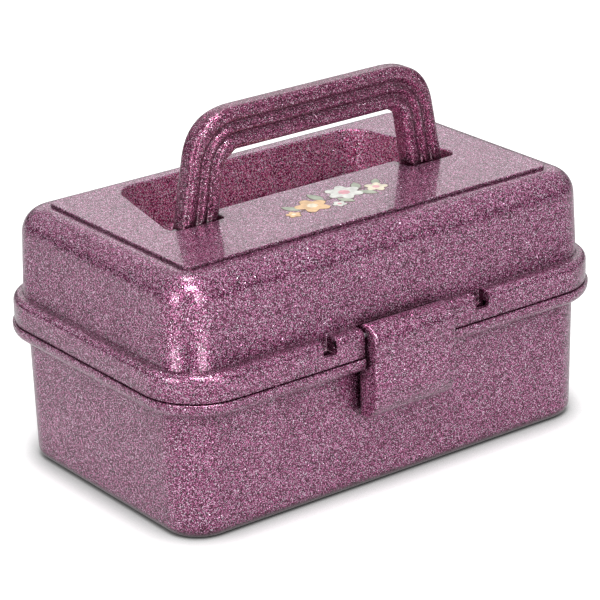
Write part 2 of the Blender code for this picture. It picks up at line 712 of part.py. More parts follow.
def tray_ring(inset, z):
    inset += (TRAY_RIM - z) * math.tan(TRAY_DRAFT)
    centre_y = (TRAY_FRONT + TRAY_BACK) / 2
    half_y = (TRAY_BACK - TRAY_FRONT) / 2
    return rounded_ring(TRAY_HALF - inset, half_y - inset, TRAY_CORNER - inset, z, centre_y)


def make_tray():
    y, z = tray_lid_point()
    rings = []
    for run, rise in quarter(TRAY_FLOOR_ROUND):
        rings.append(tray_ring(TRAY_FLOOR_ROUND - run, TRAY_BOTTOM + rise))
    rings.append(tray_ring(0, TRAY_RIM))
    rings.append(tray_ring(TRAY_WALL, TRAY_RIM))
    inside = TRAY_FLOOR_ROUND - TRAY_WALL
    for run, rise in reversed(quarter(inside)):
        rings.append(tray_ring(TRAY_WALL + inside - run, TRAY_BOTTOM + TRAY_WALL + rise))
    tray = add_object("tray", stack(rings), "tray", (0.0, y, z))
    pitch = 2 * TRAY_HALF / (TRAY_DIVIDERS + 1)
    draft = TRAY_HEIGHT * math.tan(TRAY_DRAFT)
    divider_inset = draft + TRAY_WALL - DIVIDER_BITE
    for i in range(TRAY_DIVIDERS):
        x = -TRAY_HALF + (i + 1) * pitch
        join(tray, box(
            (x - TRAY_WALL / 2, TRAY_FRONT + divider_inset, TRAY_BOTTOM + TRAY_WALL / 2),
            (x + TRAY_WALL / 2, TRAY_BACK - divider_inset, TRAY_RIM - DIVIDER_DROP)))
    for side in (-1, 1):
        inner = tray_pin_inner()
        join(tray, rod(
            side * inner, side * (arm_plane() - GAP), ARM_TRAY_Y, ARM_TRAY_Z, BOSS_RADIUS))
        cut(tray, rod(
            side * (inner - BOSS_RADIUS), side * (arm_plane() + MM),
            ARM_TRAY_Y, ARM_TRAY_Z, PIN_RADIUS + GAP))
        join(tray, rod(side * inner, side * TRAY_HALF, y, z, BOSS_RADIUS))
        cut(tray, rod(
            side * (inner - BOSS_RADIUS), side * (TRAY_HALF + MM), y, z, PIN_RADIUS + GAP))


def tray_pin_inner():
    """X of the pins' ends inside the tray's wall."""
    return TRAY_HALF - TRAY_WALL / 2 - PIN_INSIDE


def make_arms():
    by, bz = arm_base_point()
    along = math.atan2(ARM_TRAY_Z - bz, ARM_TRAY_Y - by)
    lean = math.degrees(along)
    for side, name in ((-1, "tray_arm_left"), (1, "tray_arm_right")):
        outline = arc(ARM_TRAY_Y, ARM_TRAY_Z, ARM_WIDTH / 2, lean - 90, lean + 90, 8)
        outline += arc(by, bz, ARM_WIDTH / 2, lean + 90, lean + 270, 8)
        x0 = side * arm_plane()
        x1 = side * (arm_plane() + ARM_THICK)
        arm = add_object(name, slab(outline, x0, x1), "tray", (x0, by, bz))
        for y, z in ((by, bz), (ARM_TRAY_Y, ARM_TRAY_Z)):
            ends = (side * (arm_plane() - MM), side * (arm_plane() + ARM_THICK + MM))
            cut(arm, rod(*ends, y, z, PIN_RADIUS + GAP))


def make_linkage_pins():
    by, bz = arm_base_point()
    ly, lz = tray_lid_point()
    tray_inner = tray_pin_inner()
    for side, hand in ((-1, "left"), (1, "right")):
        head_x = arm_plane() - GAP - PIN_HEAD
        tip_x = arm_plane() + ARM_THICK + GAP + PIN_BITE
        bm = headed_rod(
            side * head_x, side * tip_x, by, bz, PIN_RADIUS, PIN_HEAD_RADIUS, PIN_HEAD)
        add_object("arm_base_pin_" + hand, bm, "steel", (side * tip_x, by, bz))
        head_x = arm_plane() + ARM_THICK + GAP + PIN_HEAD
        bm = headed_rod(
            side * head_x, side * tray_inner, ARM_TRAY_Y, ARM_TRAY_Z,
            PIN_RADIUS, PIN_HEAD_RADIUS, PIN_HEAD)
        add_object("arm_tray_pin_" + hand, bm, "steel", (side * head_x, ARM_TRAY_Y, ARM_TRAY_Z))
        head_x = tray_inner - GAP - PIN_HEAD
        tip_x = TRAY_HALF + GAP + PIN_BITE
        bm = headed_rod(
            side * head_x, side * tip_x, ly, lz, PIN_RADIUS, PIN_HEAD_RADIUS, PIN_HEAD)
        add_object("tray_lid_pin_" + hand, bm, "steel", (side * tip_x, ly, lz))


clear_scene()
make_base()
make_lid()
make_handle()
make_handle_pins()
make_latch()
make_latch_pin()
make_hinge_pins()
make_tray()
make_arms()
make_linkage_pins()
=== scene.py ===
"""The looks of a small glitter-plastic grooming case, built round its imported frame."""

import math

import bmesh
import bpy
from mathutils import Matrix, Vector


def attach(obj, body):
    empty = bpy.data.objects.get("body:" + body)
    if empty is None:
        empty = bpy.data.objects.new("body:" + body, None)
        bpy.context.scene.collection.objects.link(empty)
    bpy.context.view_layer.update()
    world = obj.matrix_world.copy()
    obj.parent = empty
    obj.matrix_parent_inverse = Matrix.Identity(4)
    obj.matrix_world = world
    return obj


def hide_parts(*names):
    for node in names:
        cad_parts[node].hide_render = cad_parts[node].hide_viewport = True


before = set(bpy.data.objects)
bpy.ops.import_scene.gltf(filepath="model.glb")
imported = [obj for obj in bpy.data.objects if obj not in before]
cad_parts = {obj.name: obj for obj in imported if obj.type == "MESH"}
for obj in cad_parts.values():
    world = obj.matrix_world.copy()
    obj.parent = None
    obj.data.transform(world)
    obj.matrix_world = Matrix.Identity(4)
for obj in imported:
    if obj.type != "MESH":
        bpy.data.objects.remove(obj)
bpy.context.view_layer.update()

MM = 0.001
GAP = 0.3 * MM
CORNER_STEPS = 24
FILLET_STEPS = 12
ROUND_STEPS = 48
SUPPORT = 0.35 * MM

# Flange that the tub and the lid share
FLANGE_LENGTH = 250.0 * MM
FLANGE_DEPTH = 159.2 * MM
FLANGE_CORNER = 30.5 * MM
WALL_CORNER = 19.0 * MM
WALL = 2.5 * MM
FLANGE_FRONT = -FLANGE_DEPTH / 2
FLANGE_BACK = FLANGE_DEPTH / 2

# Tub
BASE_HEIGHT = 68.8 * MM
BASE_INSET_END = 7.7 * MM
BASE_INSET_FRONT = 9.8 * MM
BASE_DRAFT = math.radians(1.1)
BASE_FOOT_RADIUS = 5.0 * MM
LIP_HEIGHT = 7.0 * MM
LIP_ROUND = 5.2 * MM
LIP_UNDERSIDE = BASE_HEIGHT - LIP_HEIGHT
BASE_FRONT = FLANGE_FRONT + BASE_INSET_FRONT

# Lid
LID_GAP = 0.15 * MM
LID_SET_BACK = 1.0 * MM
LID_INSET_END = 6.5 * MM
LID_INSET_FRONT = 8.6 * MM
LID_DRAFT = math.radians(2.5)
LID_FLANGE_HEIGHT = 13.15 * MM
LID_WALL_HEIGHT = 41.5 * MM
LID_FILLET = 12.3 * MM
FLANGE_TOP_ROUND = 3.4 * MM
PANEL_RISE = 1.5 * MM
PANEL_STEP = 1.7 * MM
PANEL_EDGE = 0.4 * MM
SEAM = BASE_HEIGHT + LID_GAP
LID_FOOT = SEAM + LID_FLANGE_HEIGHT
LID_TOP = LID_FOOT + LID_WALL_HEIGHT
PANEL_TOP = LID_TOP + PANEL_RISE
LID_FRONT = FLANGE_FRONT + LID_INSET_FRONT

# Tongue on the tub's rim and the groove under the lid's flange
GROOVE_INSET = 3.4 * MM
GROOVE_WIDTH = 3.0 * MM
GROOVE_ROOF = 5.4 * MM
GROOVE_DEPTH = LID_FLANGE_HEIGHT - GROOVE_ROOF
TONGUE_CLEARANCE = 0.5 * MM
TONGUE_HEIGHT = 3.0 * MM

# Handle
HANDLE_Y = -8.5 * MM
HANDLE_REACH = 55.5 * MM
HANDLE_WIDTH = 20.2 * MM
HANDLE_LEG_WIDTH = 18.9 * MM
HANDLE_FLARE = 0.9 * MM
HANDLE_THICK = 11.0 * MM
HANDLE_EDGE = 3.2 * MM
HANDLE_FOOT_HALF = 65.9 * MM
HANDLE_LEAN = math.radians(9.8)
HANDLE_BEND = 17.4 * MM
HANDLE_BEND_SWELL = 2.3 * MM
HANDLE_GROOVES = (2.7 * MM, -2.9 * MM)
HANDLE_GROOVE_WIDTH = 3.2 * MM
HANDLE_GROOVE_DEPTH = 1.7 * MM
HANDLE_PIN_RADIUS = 2.2 * MM
HANDLE_PIN_HEAD_RADIUS = 3.6 * MM
HANDLE_PIN_HEAD = 1.4 * MM
HANDLE_BOSS_RADIUS = 3.9 * MM
HANDLE_BOSS_LENGTH = 12.0 * MM
HANDLE_PIN_BITE = 9.0 * MM
HANDLE_AXIS_Z = PANEL_TOP - GAP - HANDLE_THICK / 2
HANDLE_FOOT_WIDTH = HANDLE_LEG_WIDTH + HANDLE_FLARE
HANDLE_FOOT_REACH = HANDLE_FOOT_WIDTH / 2 * math.cos(HANDLE_LEAN)

# Handle recess in the lid
RECESS_FRONT_GAP = 0.8 * MM
RECESS_BACK_GAP = 3.0 * MM
RECESS_END_GAP = 7.4 * MM
RECESS_TAPER = 13.5 * MM
RECESS_DEPTH = 26.0 * MM
RECESS_DRAFT = 1.6 * MM
RECESS_WALL = 2.2 * MM
RECESS_BACK_RADIUS = 12.0 * MM
RECESS_FRONT_RADIUS = 5.0 * MM
PLATFORM_GAP = 2.4 * MM
PLATFORM_DEPTH = 11.8 * MM
PLATFORM_RADIUS = 1.5 * MM
RECESS_FRONT = HANDLE_Y - HANDLE_THICK / 2 - RECESS_FRONT_GAP
RECESS_BACK = HANDLE_Y + HANDLE_REACH + RECESS_BACK_GAP
RECESS_FRONT_HALF = HANDLE_FOOT_HALF + HANDLE_FOOT_REACH + RECESS_END_GAP
RECESS_BACK_HALF = RECESS_FRONT_HALF - RECESS_TAPER
PLATFORM_HALF = HANDLE_FOOT_HALF - HANDLE_FOOT_REACH - PLATFORM_GAP
PLATFORM_BACK = RECESS_FRONT + PLATFORM_DEPTH

# Latch
LATCH_SETBACK = 3.0 * MM
LATCH_BELOW_FOOT = 3.0 * MM
LATCH_HALF = 23.2 * MM
LATCH_SIDE_GAP = 1.6 * MM
LATCH_BARREL = 4.9 * MM
LATCH_FACE = 8.6 * MM
LATCH_DROP = 41.0 * MM
LATCH_CURL_START = 23.5 * MM
LATCH_CHEEK = 2.8 * MM
LATCH_WEB = 2.6 * MM
LATCH_WALL_GAP = 2.0 * MM
LATCH_TOE_LIFT = 0.6 * MM
LATCH_SHOULDER_DROP = 1.5 * MM
LATCH_PIN_RADIUS = 1.2 * MM
LATCH_PIN_SET_IN = 1.5 * MM
LATCH_Y = FLANGE_FRONT + LATCH_SETBACK
LATCH_BACK = BASE_FRONT - LATCH_WALL_GAP
LATCH_Z = LID_FOOT - LATCH_BELOW_FOOT
BLOCK_START = LATCH_HALF + LATCH_SIDE_GAP
BLOCK_WIDTH = 15.4 * MM
NOTCH_START = BLOCK_START + BLOCK_WIDTH
NOTCH_WIDTH = 7.6 * MM
NOTCH_DEPTH = 7.1 * MM
CATCH_HALF = 17.0 * MM
CATCH_OUT = 4.4 * MM
CATCH_HEIGHT = 5.5 * MM
CATCH_CHAMFER = 1.0 * MM
CATCH_BELOW_SEAM = 2.8 * MM
CATCH_TOP = BASE_HEIGHT - CATCH_BELOW_SEAM
HOOK_HEIGHT = 4.0 * MM
HOOK_DROP = 1.0 * MM

# Hinge at the back
HINGE_OUT = 4.4 * MM
HINGE_ABOVE_SEAM = 0.7 * MM
HINGE_FROM_END = 53.0 * MM
KNUCKLE_RADIUS = 4.4 * MM
KNUCKLE_LID = 18.0 * MM
KNUCKLE_BASE = 10.0 * MM
KNUCKLE_GAP = 0.4 * MM
KNUCKLE_ROOM = 0.6 * MM
KNUCKLE_WEB = 8.0 * MM
HINGE_PIN_RADIUS = 1.5 * MM
HINGE_Y = FLANGE_BACK + HINGE_OUT
HINGE_Z = BASE_HEIGHT + HINGE_ABOVE_SEAM
HINGE_CENTRE = FLANGE_LENGTH / 2 - HINGE_FROM_END

# Tray and its linkage
CRANK_BACK = -46.0 * MM
CRANK_UP = 5.0 * MM
TRAY_FROM_END = 19.0 * MM
TRAY_FROM_FRONT = 16.6 * MM
TRAY_FROM_BACK = 25.6 * MM
TRAY_BELOW_HINGE = 19.5 * MM
TRAY_HEIGHT = 36.0 * MM
TRAY_WALL = 1.8 * MM
TRAY_DRAFT = math.radians(1.5)
TRAY_CORNER = 14.0 * MM
TRAY_FLOOR_ROUND = 4.0 * MM
TRAY_DIVIDERS = 2
DIVIDER_DROP = 6.0 * MM
DIVIDER_BITE = 0.3 * MM
TRAY_HALF = FLANGE_LENGTH / 2 - TRAY_FROM_END
TRAY_FRONT = FLANGE_FRONT + TRAY_FROM_FRONT
TRAY_BACK = FLANGE_BACK - TRAY_FROM_BACK
TRAY_BOTTOM = HINGE_Z - TRAY_BELOW_HINGE
TRAY_RIM = TRAY_BOTTOM + TRAY_HEIGHT
ARM_BEHIND_FRONT = 23.0 * MM
ARM_BELOW_SEAM = 5.8 * MM
ARM_WIDTH = 9.0 * MM
ARM_THICK = 2.5 * MM
ARM_OFFSET = 2.7 * MM
ARM_TRAY_Y = TRAY_FRONT + ARM_BEHIND_FRONT
ARM_TRAY_Z = BASE_HEIGHT - ARM_BELOW_SEAM
PIN_RADIUS = 2.0 * MM
PIN_HEAD_RADIUS = 3.2 * MM
PIN_HEAD = 1.2 * MM
PIN_BITE = 3.0 * MM
PIN_INSIDE = 1.0 * MM
BOSS_RADIUS = 4.3 * MM

# Small roundings that the solids leave out
RIM_ROUND = 0.6 * MM
VALLEY_ROUND = 0.8 * MM
RECESS_RIM = 0.9 * MM
RECESS_FLOOR_ROUND = 4.0 * MM
EDGE_ROUND = 0.35 * MM
TRAY_RIM_ROUND = 0.8 * MM
LATCH_EDGE = 1.3 * MM
NOTCH_ROUND = 0.8 * MM
LATCH_ROOM_ROUND = 0.6 * MM
CUT_HEADROOM = 3.0 * MM

# How finely the handle is drawn
HANDLE_GROOVE_SPREAD = 0.8
HANDLE_BEND_STEPS = 24
HANDLE_LEG_STATIONS = (0.03, 0.3, 0.65, 0.97, 1.0)

# The print on the panel
PRINT_X = -1.0 * MM
PRINT_Y = -26.0 * MM
PRINT_FILM = 0.05 * MM

# Glitter: (share of the flakes below this tone, its colour)
FLAKE = 0.33 * MM
SHELL_FLAKES = [
    (0.0, (0.012, 0.001, 0.006)),
    (0.38, (0.1, 0.012, 0.046)),
    (0.72, (0.53, 0.12, 0.3)),
    (0.88, (1.0, 0.44, 0.75)),
    (0.96, (1.0, 0.84, 0.97)),
]
HANDLE_FLAKES = [
    (0.0, (0.017, 0.0025, 0.009)),
    (0.4, (0.11, 0.015, 0.05)),
    (0.78, (0.41, 0.075, 0.2)),
    (0.93, (0.86, 0.35, 0.58)),
    (0.975, (1.0, 0.84, 0.94)),
]
# Painted light: factors that make the recess's flakes paler than the shell's
WELL_PAINTED_LIGHT = (1.8, 1.65, 1.5)
LEVEL_FLAKES = 0.88
FLAKE_METALLIC = 0.65
COAT_ROUGHNESS = 0.06
COAT_IOR = 1.5
# Painted shade in creases: how far the occlusion reaches, and the dark colour it shades towards
CREASE_PAINTED_SHADE_REACH = 8 * MM
CREASE_PAINTED_SHADE = (0.24, 0.15, 0.19)
TRAY_COLOUR = (0.70, 0.52, 0.63)

# The camera that was fitted to the photograph
CAMERA_PLACE = (-0.74673, -1.01199, 0.56437)
CAMERA_FORWARD = (0.55115, 0.74895, -0.36784)
CAMERA_UP = (0.24068, 0.27941, 0.92952)
CAMERA_SENSOR = 36.0
CAMERA_LENS = 172.09

# Floor, backdrop and lamps
FLOOR_HALF = 3.0
FLOOR_GREY = 0.45
FLOOR_LIFT = 0.35
FLOOR_IN_GLOSS = 0.12
# Painted contact shadow on the floor: how far it reaches and how steeply it fades
SHADOW_REACH = 0.02
SHADOW_POWER = 1.25
DOME_HEIGHTS = (0.12, 0.38)
DOME_LEVELS = (0.08, 0.5)
CASE_MIDDLE = (0, 0, 0.1)
CORNER_MIDDLE = (0, 0, 0.06)
LAMPS = [
    ("corner_left", (-1.2, -0.28, 0.4), CORNER_MIDDLE, (0.5, 0.9), 4.8),
    ("corner_right", (-0.25, -1.2, 0.4), CORNER_MIDDLE, (0.5, 0.9), 5.2),
    ("front", (-0.5, -0.9, 1.8), CASE_MIDDLE, (0.8, 0.6), 24),
    ("top", (0.1, 0.3, 1.9), CASE_MIDDLE, (0.6, 0.6), 6),
    ("behind", (1.1, 1.5, 0.75), CASE_MIDDLE, (1.8, 0.9), 3.0),
]


# Meshes

def link(name, mesh):
    obj = bpy.data.objects.new(name, mesh)
    bpy.context.scene.collection.objects.link(obj)
    return obj


def to_object(bm, name, sharp=40):
    bmesh.ops.recalc_face_normals(bm, faces=bm.faces)
    mesh = bpy.data.meshes.new(name)
    bm.to_mesh(mesh)
    bm.free()
    mesh.shade_smooth()
    mesh.set_sharp_from_angle(angle=math.radians(sharp))
    return link(name, mesh)


def combine(target, bm, operation):
    tool = to_object(bm, target.name + "_tool")
    modifier = target.modifiers.new(operation, "BOOLEAN")
    modifier.operation = operation
    modifier.solver = "EXACT"
    modifier.object = tool


def cut(target, bm):
    combine(target, bm, "DIFFERENCE")


def join(target, bm):
    combine(target, bm, "UNION")


def bake(obj, sharp=38):
    """Turn an object's Booleans into its own mesh."""
    tools = [modifier.object for modifier in obj.modifiers]
    bpy.context.view_layer.update()
    shape = obj.evaluated_get(bpy.context.evaluated_depsgraph_get())
    mesh = bpy.data.meshes.new_from_object(shape)
    obj.modifiers.clear()
    obj.data = mesh
    for tool in tools:
        bpy.data.objects.remove(tool, do_unlink=True)
    mesh.shade_smooth()
    mesh.set_sharp_from_angle(angle=math.radians(sharp))
    return obj


def place(obj, body, replaced, look):
    """Put a finished piece on its body, in place of the solid."""
    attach(obj, body)
    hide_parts(replaced)
    return obj


def arc(centre_u, centre_v, radius, start, end, steps):
    points = []
    for i in range(steps + 1):
        t = math.radians(start + (end - start) * i / steps)
        points.append((centre_u + radius * math.cos(t), centre_v + radius * math.sin(t)))
    return points


def rounded_ring(half_x, half_y, radius, z, centre_y=0.0):
    """A rectangle with round corners and a support point at each end of each arc."""
    cx = half_x - radius
    cy = half_y - radius
    points = []
    for sx, sy, start in ((1, 1, 0), (-1, 1, 90), (-1, -1, 180), (1, -1, 270)):
        turn = arc(sx * cx, sy * cy, radius, start, start + 90, CORNER_STEPS)
        t0, t1 = math.radians(start), math.radians(start + 90)
        before = (turn[0][0] + SUPPORT * math.sin(t0), turn[0][1] - SUPPORT * math.cos(t0))
        after = (turn[-1][0] - SUPPORT * math.sin(t1), turn[-1][1] + SUPPORT * math.cos(t1))
        points += [before] + turn + [after]
    return [(x, y + centre_y, z) for x, y in points]


def case_ring(inset_end, inset_front, z, corner=None):
    half_x = FLANGE_LENGTH / 2 - inset_end
    half_y = FLANGE_DEPTH / 2 - inset_front
    return rounded_ring(half_x, half_y, corner or FLANGE_CORNER - inset_end, z)


def quarter(radius, steps=FILLET_STEPS):
    pairs = []
    for i in range(steps + 1):
        t = math.pi / 2 * i / steps
        pairs.append((radius * math.sin(t), radius * (1 - math.cos(t))))
    return pairs


def skin(bm, rings):
    """Quads between rings of equal length. Returns the rows of vertices."""
    rows = [[bm.verts.new(point) for point in ring] for ring in rings]
    count = len(rows[0])
    for lower, upper in zip(rows, rows[1:]):
        for i in range(count):
            j = (i + 1) % count
            bm.faces.new((lower[i], lower[j], upper[j], upper[i]))
    return rows


def stack(rings):
    bm = bmesh.new()
    rows = skin(bm, rings)
    bm.faces.new(rows[0])
    bm.faces.new(rows[-1])
    return bm


def fill_between(bm, outer, inner):
    """Flat faces between an outer loop and the hole inside it."""
    edges = []
    for loop in (outer, inner):
        for i, vert in enumerate(loop):
            other = loop[(i + 1) % len(loop)]
            edges.append(bm.edges.get((vert, other)) or bm.edges.new((vert, other)))
    bmesh.ops.triangle_fill(bm, use_beauty=True, use_dissolve=False, edges=edges)


def soft_box(low, high, radius=EDGE_ROUND):
    """A box with rounded edges all round."""
    bm = bmesh.new()
    bmesh.ops.create_cube(bm, size=1.0)
    size = Vector(high) - Vector(low)
    middle = (Vector(high) + Vector(low)) / 2
    bmesh.ops.scale(bm, vec=size, verts=bm.verts)
    bmesh.ops.translate(bm, vec=middle, verts=bm.verts)
    bmesh.ops.bevel(
        bm, geom=bm.edges[:], offset=radius, offset_type="OFFSET", segments=3,
        profile=0.5, affect="EDGES")
    return bm


def rod(x0, x1, y, z, radius, edge=0.0):
    """A cylinder along X, with rounded rims where edge isn't zero."""
    way = math.copysign(1.0, x1 - x0)
    stations = [(x0, radius), (x1, radius)]
    if edge:
        rim = [(edge - edge * math.sin(t), edge - edge * math.cos(t)) for t in (
            0.0, math.pi / 6, math.pi / 3, math.pi / 2)]
        stations = [(x0 + way * back, radius - inward) for inward, back in rim]
        stations += [(x1 - way * back, radius - inward) for inward, back in rim[::-1]]
    return turned(stations, y, z)


def turned(stations, y, z):
    """A turned shape along X through (x, radius) stations."""
    turns = [2 * math.pi * i / ROUND_STEPS for i in range(ROUND_STEPS)]
    return stack([
        [(x, y + r * math.cos(t), z + r * math.sin(t)) for t in turns]
        for x, r in stations
    ])


def slab(outline_yz, x0, x1, edge=0.0):
    """A side view drawn out along X, with rounded sides where edge isn't zero."""
    if not edge:
        return stack([[(x, y, z) for y, z in outline_yz] for x in (x0, x1)])
    rings = []
    way = math.copysign(1.0, x1 - x0)
    turns = [math.pi / 8 * i for i in range(5)]
    pairs = [(edge * (1 - math.cos(t)), edge * (1 - math.sin(t))) for t in turns]
    for along, inward in pairs:
        rings.append([(x0 + way * along, y, z) for y, z in offset_outline(outline_yz, inward)])
    for along, inward in reversed(pairs):
        rings.append([(x1 - way * along, y, z) for y, z in offset_outline(outline_yz, inward)])
    return stack(rings)


def offset_outline(points, distance):
    """Move each edge of a counter-clockwise outline inwards by distance."""
    moved = []
    count = len(points)
    for i in range(count):
        before = Vector(points[i - 1])
        here = Vector(points[i])
        after = Vector(points[(i + 1) % count])
        first = (here - before).normalized()
        second = (after - here).normalized()
        n1 = Vector((-first.y, first.x))
        n2 = Vector((-second.y, second.x))
        moved.append(tuple(here + (n1 + n2) * (distance / (1 + n1.dot(n2)))))
    return moved


def round_outline(points, radii, steps):
    result = []
    count = len(points)
    for i in range(count):
        here = Vector(points[i])
        to_before = (Vector(points[i - 1]) - here).normalized()
        to_after = (Vector(points[(i + 1) % count]) - here).normalized()
        half = to_before.angle(to_after) / 2
        radius = radii[i]
        centre = here + (to_before + to_after).normalized() * (radius / math.sin(half))
        start = here + to_before * (radius / math.tan(half)) - centre
        end = here + to_after * (radius / math.tan(half)) - centre
        turn = start.angle_signed(end)
        result.append(tuple(centre + start + to_before * SUPPORT))
        for k in range(steps + 1):
            result.append(tuple(centre + Matrix.Rotation(-turn * k / steps, 2) @ start))
        result.append(tuple(centre + end + to_after * SUPPORT))
    return result


# Places that several pieces share

def hinge_web(x0, x1, low, high):
    return soft_box((x0, HINGE_Y - KNUCKLE_WEB, low), (x1, HINGE_Y, high))


def knuckle_spans(side):
    """Ends along X of the lid's knuckle, and of the tub's two beside it."""
    centre = side * HINGE_CENTRE
    lid = (centre - KNUCKLE_LID / 2, centre + KNUCKLE_LID / 2)
    left = (lid[0] - KNUCKLE_GAP - KNUCKLE_BASE, lid[0] - KNUCKLE_GAP)
    right = (lid[1] + KNUCKLE_GAP, lid[1] + KNUCKLE_GAP + KNUCKLE_BASE)
    return lid, (left, right)


def arm_plane():
    return TRAY_HALF + ARM_OFFSET


def arm_base_point():
    return ARM_TRAY_Y - CRANK_BACK, ARM_TRAY_Z - CRANK_UP


def tray_lid_point():
    return HINGE_Y + CRANK_BACK, HINGE_Z + CRANK_UP


def tray_pin_inner():
    return TRAY_HALF - TRAY_WALL / 2 - PIN_INSIDE


# Tub

def base_ring(inward, z):
    inward += (LIP_UNDERSIDE - z) * math.tan(BASE_DRAFT)
    corner = WALL_CORNER - inward
    return case_ring(BASE_INSET_END + inward, BASE_INSET_FRONT + inward, z, corner)


def build_base():
    rings = [base_ring(BASE_FOOT_RADIUS + SUPPORT, 0)]
    for run, rise in quarter(BASE_FOOT_RADIUS):
        rings.append(base_ring(BASE_FOOT_RADIUS - run, rise))
    for z in (BASE_FOOT_RADIUS + SUPPORT, LIP_UNDERSIDE - SUPPORT, LIP_UNDERSIDE):
        rings.append(base_ring(0, z))
    rings.append(case_ring(LIP_ROUND + SUPPORT, LIP_ROUND + SUPPORT, LIP_UNDERSIDE))
    for run, rise in quarter(LIP_ROUND, 8):
        rings.append(case_ring(LIP_ROUND - run, LIP_ROUND - run, LIP_UNDERSIDE + rise))
    for run, rise in quarter(RIM_ROUND, 3):
        rings.append(case_ring(rise, rise, BASE_HEIGHT - RIM_ROUND + run))
    outer = GROOVE_INSET + TONGUE_CLEARANCE
    inner = GROOVE_INSET + GROOVE_WIDTH - TONGUE_CLEARANCE
    top = BASE_HEIGHT + TONGUE_HEIGHT
    for inset, z in ((outer, BASE_HEIGHT), (outer, top), (inner, top), (inner, BASE_HEIGHT)):
        rings.append(case_ring(inset, inset, z))
    rings.append(base_ring(WALL, BASE_HEIGHT))
    inside = BASE_FOOT_RADIUS - WALL
    for run, rise in reversed(quarter(inside)):
        rings.append(base_ring(WALL + inside - run, WALL + rise))
    base = to_object(stack(rings), "tub_body")
    low = (-BLOCK_START, -FLANGE_DEPTH, LIP_UNDERSIDE - GAP)
    high = (BLOCK_START, BASE_FRONT, BASE_HEIGHT + 4 * TONGUE_HEIGHT)
    cut(base, soft_box(low, high, LATCH_ROOM_ROUND))
    half = NOTCH_START + NOTCH_WIDTH + TONGUE_HEIGHT
    high = (half, BASE_FRONT + WALL / 2, BASE_HEIGHT + 2 * TONGUE_HEIGHT)
    cut(base, soft_box((-half, -FLANGE_DEPTH, BASE_HEIGHT), high))
    bottom = CATCH_TOP - CATCH_HEIGHT
    outline = [
        (BASE_FRONT + WALL / 2, CATCH_TOP),
        (BASE_FRONT - CATCH_OUT + CATCH_CHAMFER, CATCH_TOP),
        (BASE_FRONT - CATCH_OUT, CATCH_TOP - CATCH_CHAMFER),
        (BASE_FRONT - CATCH_OUT, bottom),
        (BASE_FRONT + WALL / 2, bottom),
    ]
    join(base, slab(outline, -CATCH_HALF, CATCH_HALF))
    for side in (-1, 1):
        lid_span, base_spans = knuckle_spans(side)
        room = (lid_span[0] - KNUCKLE_GAP, lid_span[1] + KNUCKLE_GAP)
        cut(base, rod(*room, HINGE_Y, HINGE_Z, KNUCKLE_RADIUS + KNUCKLE_ROOM))
        for span in base_spans:
            join(base, hinge_web(*span, LIP_UNDERSIDE + LIP_ROUND / 2, BASE_HEIGHT))
            join(base, rod(*span, HINGE_Y, HINGE_Z, KNUCKLE_RADIUS, EDGE_ROUND))
        hole = (base_spans[0][0] - GAP, base_spans[1][1] + GAP)
        cut(base, rod(*hole, HINGE_Y, HINGE_Z, HINGE_PIN_RADIUS + GAP))
        y, z = arm_base_point()
        face = arm_plane() + ARM_THICK + GAP
        draft = (LIP_UNDERSIDE - z) * math.tan(BASE_DRAFT)
        end = FLANGE_LENGTH / 2 - BASE_INSET_END - draft - WALL / 2
        join(base, rod(side * face, side * end, y, z, BOSS_RADIUS))
        tip = face + PIN_BITE + GAP
        cut(base, rod(side * (face - MM), side * tip, y, z, PIN_RADIUS + GAP))
    return place(bake(base), "base", "base_tub", "shell")


# Lid

def lid_ring(inward, z):
    draft = (min(z, LID_TOP - LID_FILLET) - LID_FOOT) * math.tan(LID_DRAFT)
    inward += max(draft, 0)
    corner = WALL_CORNER - inward
    return case_ring(LID_INSET_END + inward, LID_INSET_FRONT + inward, z, corner)


def recess_outline(inset):
    corners = [
        (PLATFORM_HALF, PLATFORM_BACK),
        (PLATFORM_HALF, RECESS_FRONT),
        (RECESS_FRONT_HALF, RECESS_FRONT),
        (RECESS_BACK_HALF, RECESS_BACK),
        (-RECESS_BACK_HALF, RECESS_BACK),
        (-RECESS_FRONT_HALF, RECESS_FRONT),
        (-PLATFORM_HALF, RECESS_FRONT),
        (-PLATFORM_HALF, PLATFORM_BACK),
    ]
    inward = [
        PLATFORM_RADIUS + inset, PLATFORM_RADIUS - inset,
        RECESS_FRONT_RADIUS - inset, RECESS_BACK_RADIUS - inset,
    ]
    radii = [max(r, 0.2 * MM) for r in inward + inward[::-1]]
    return round_outline(offset_outline(corners, inset), radii, 10)


def recess_ring(inset, z):
    return [(x, y, z) for x, y in recess_outline(inset)]


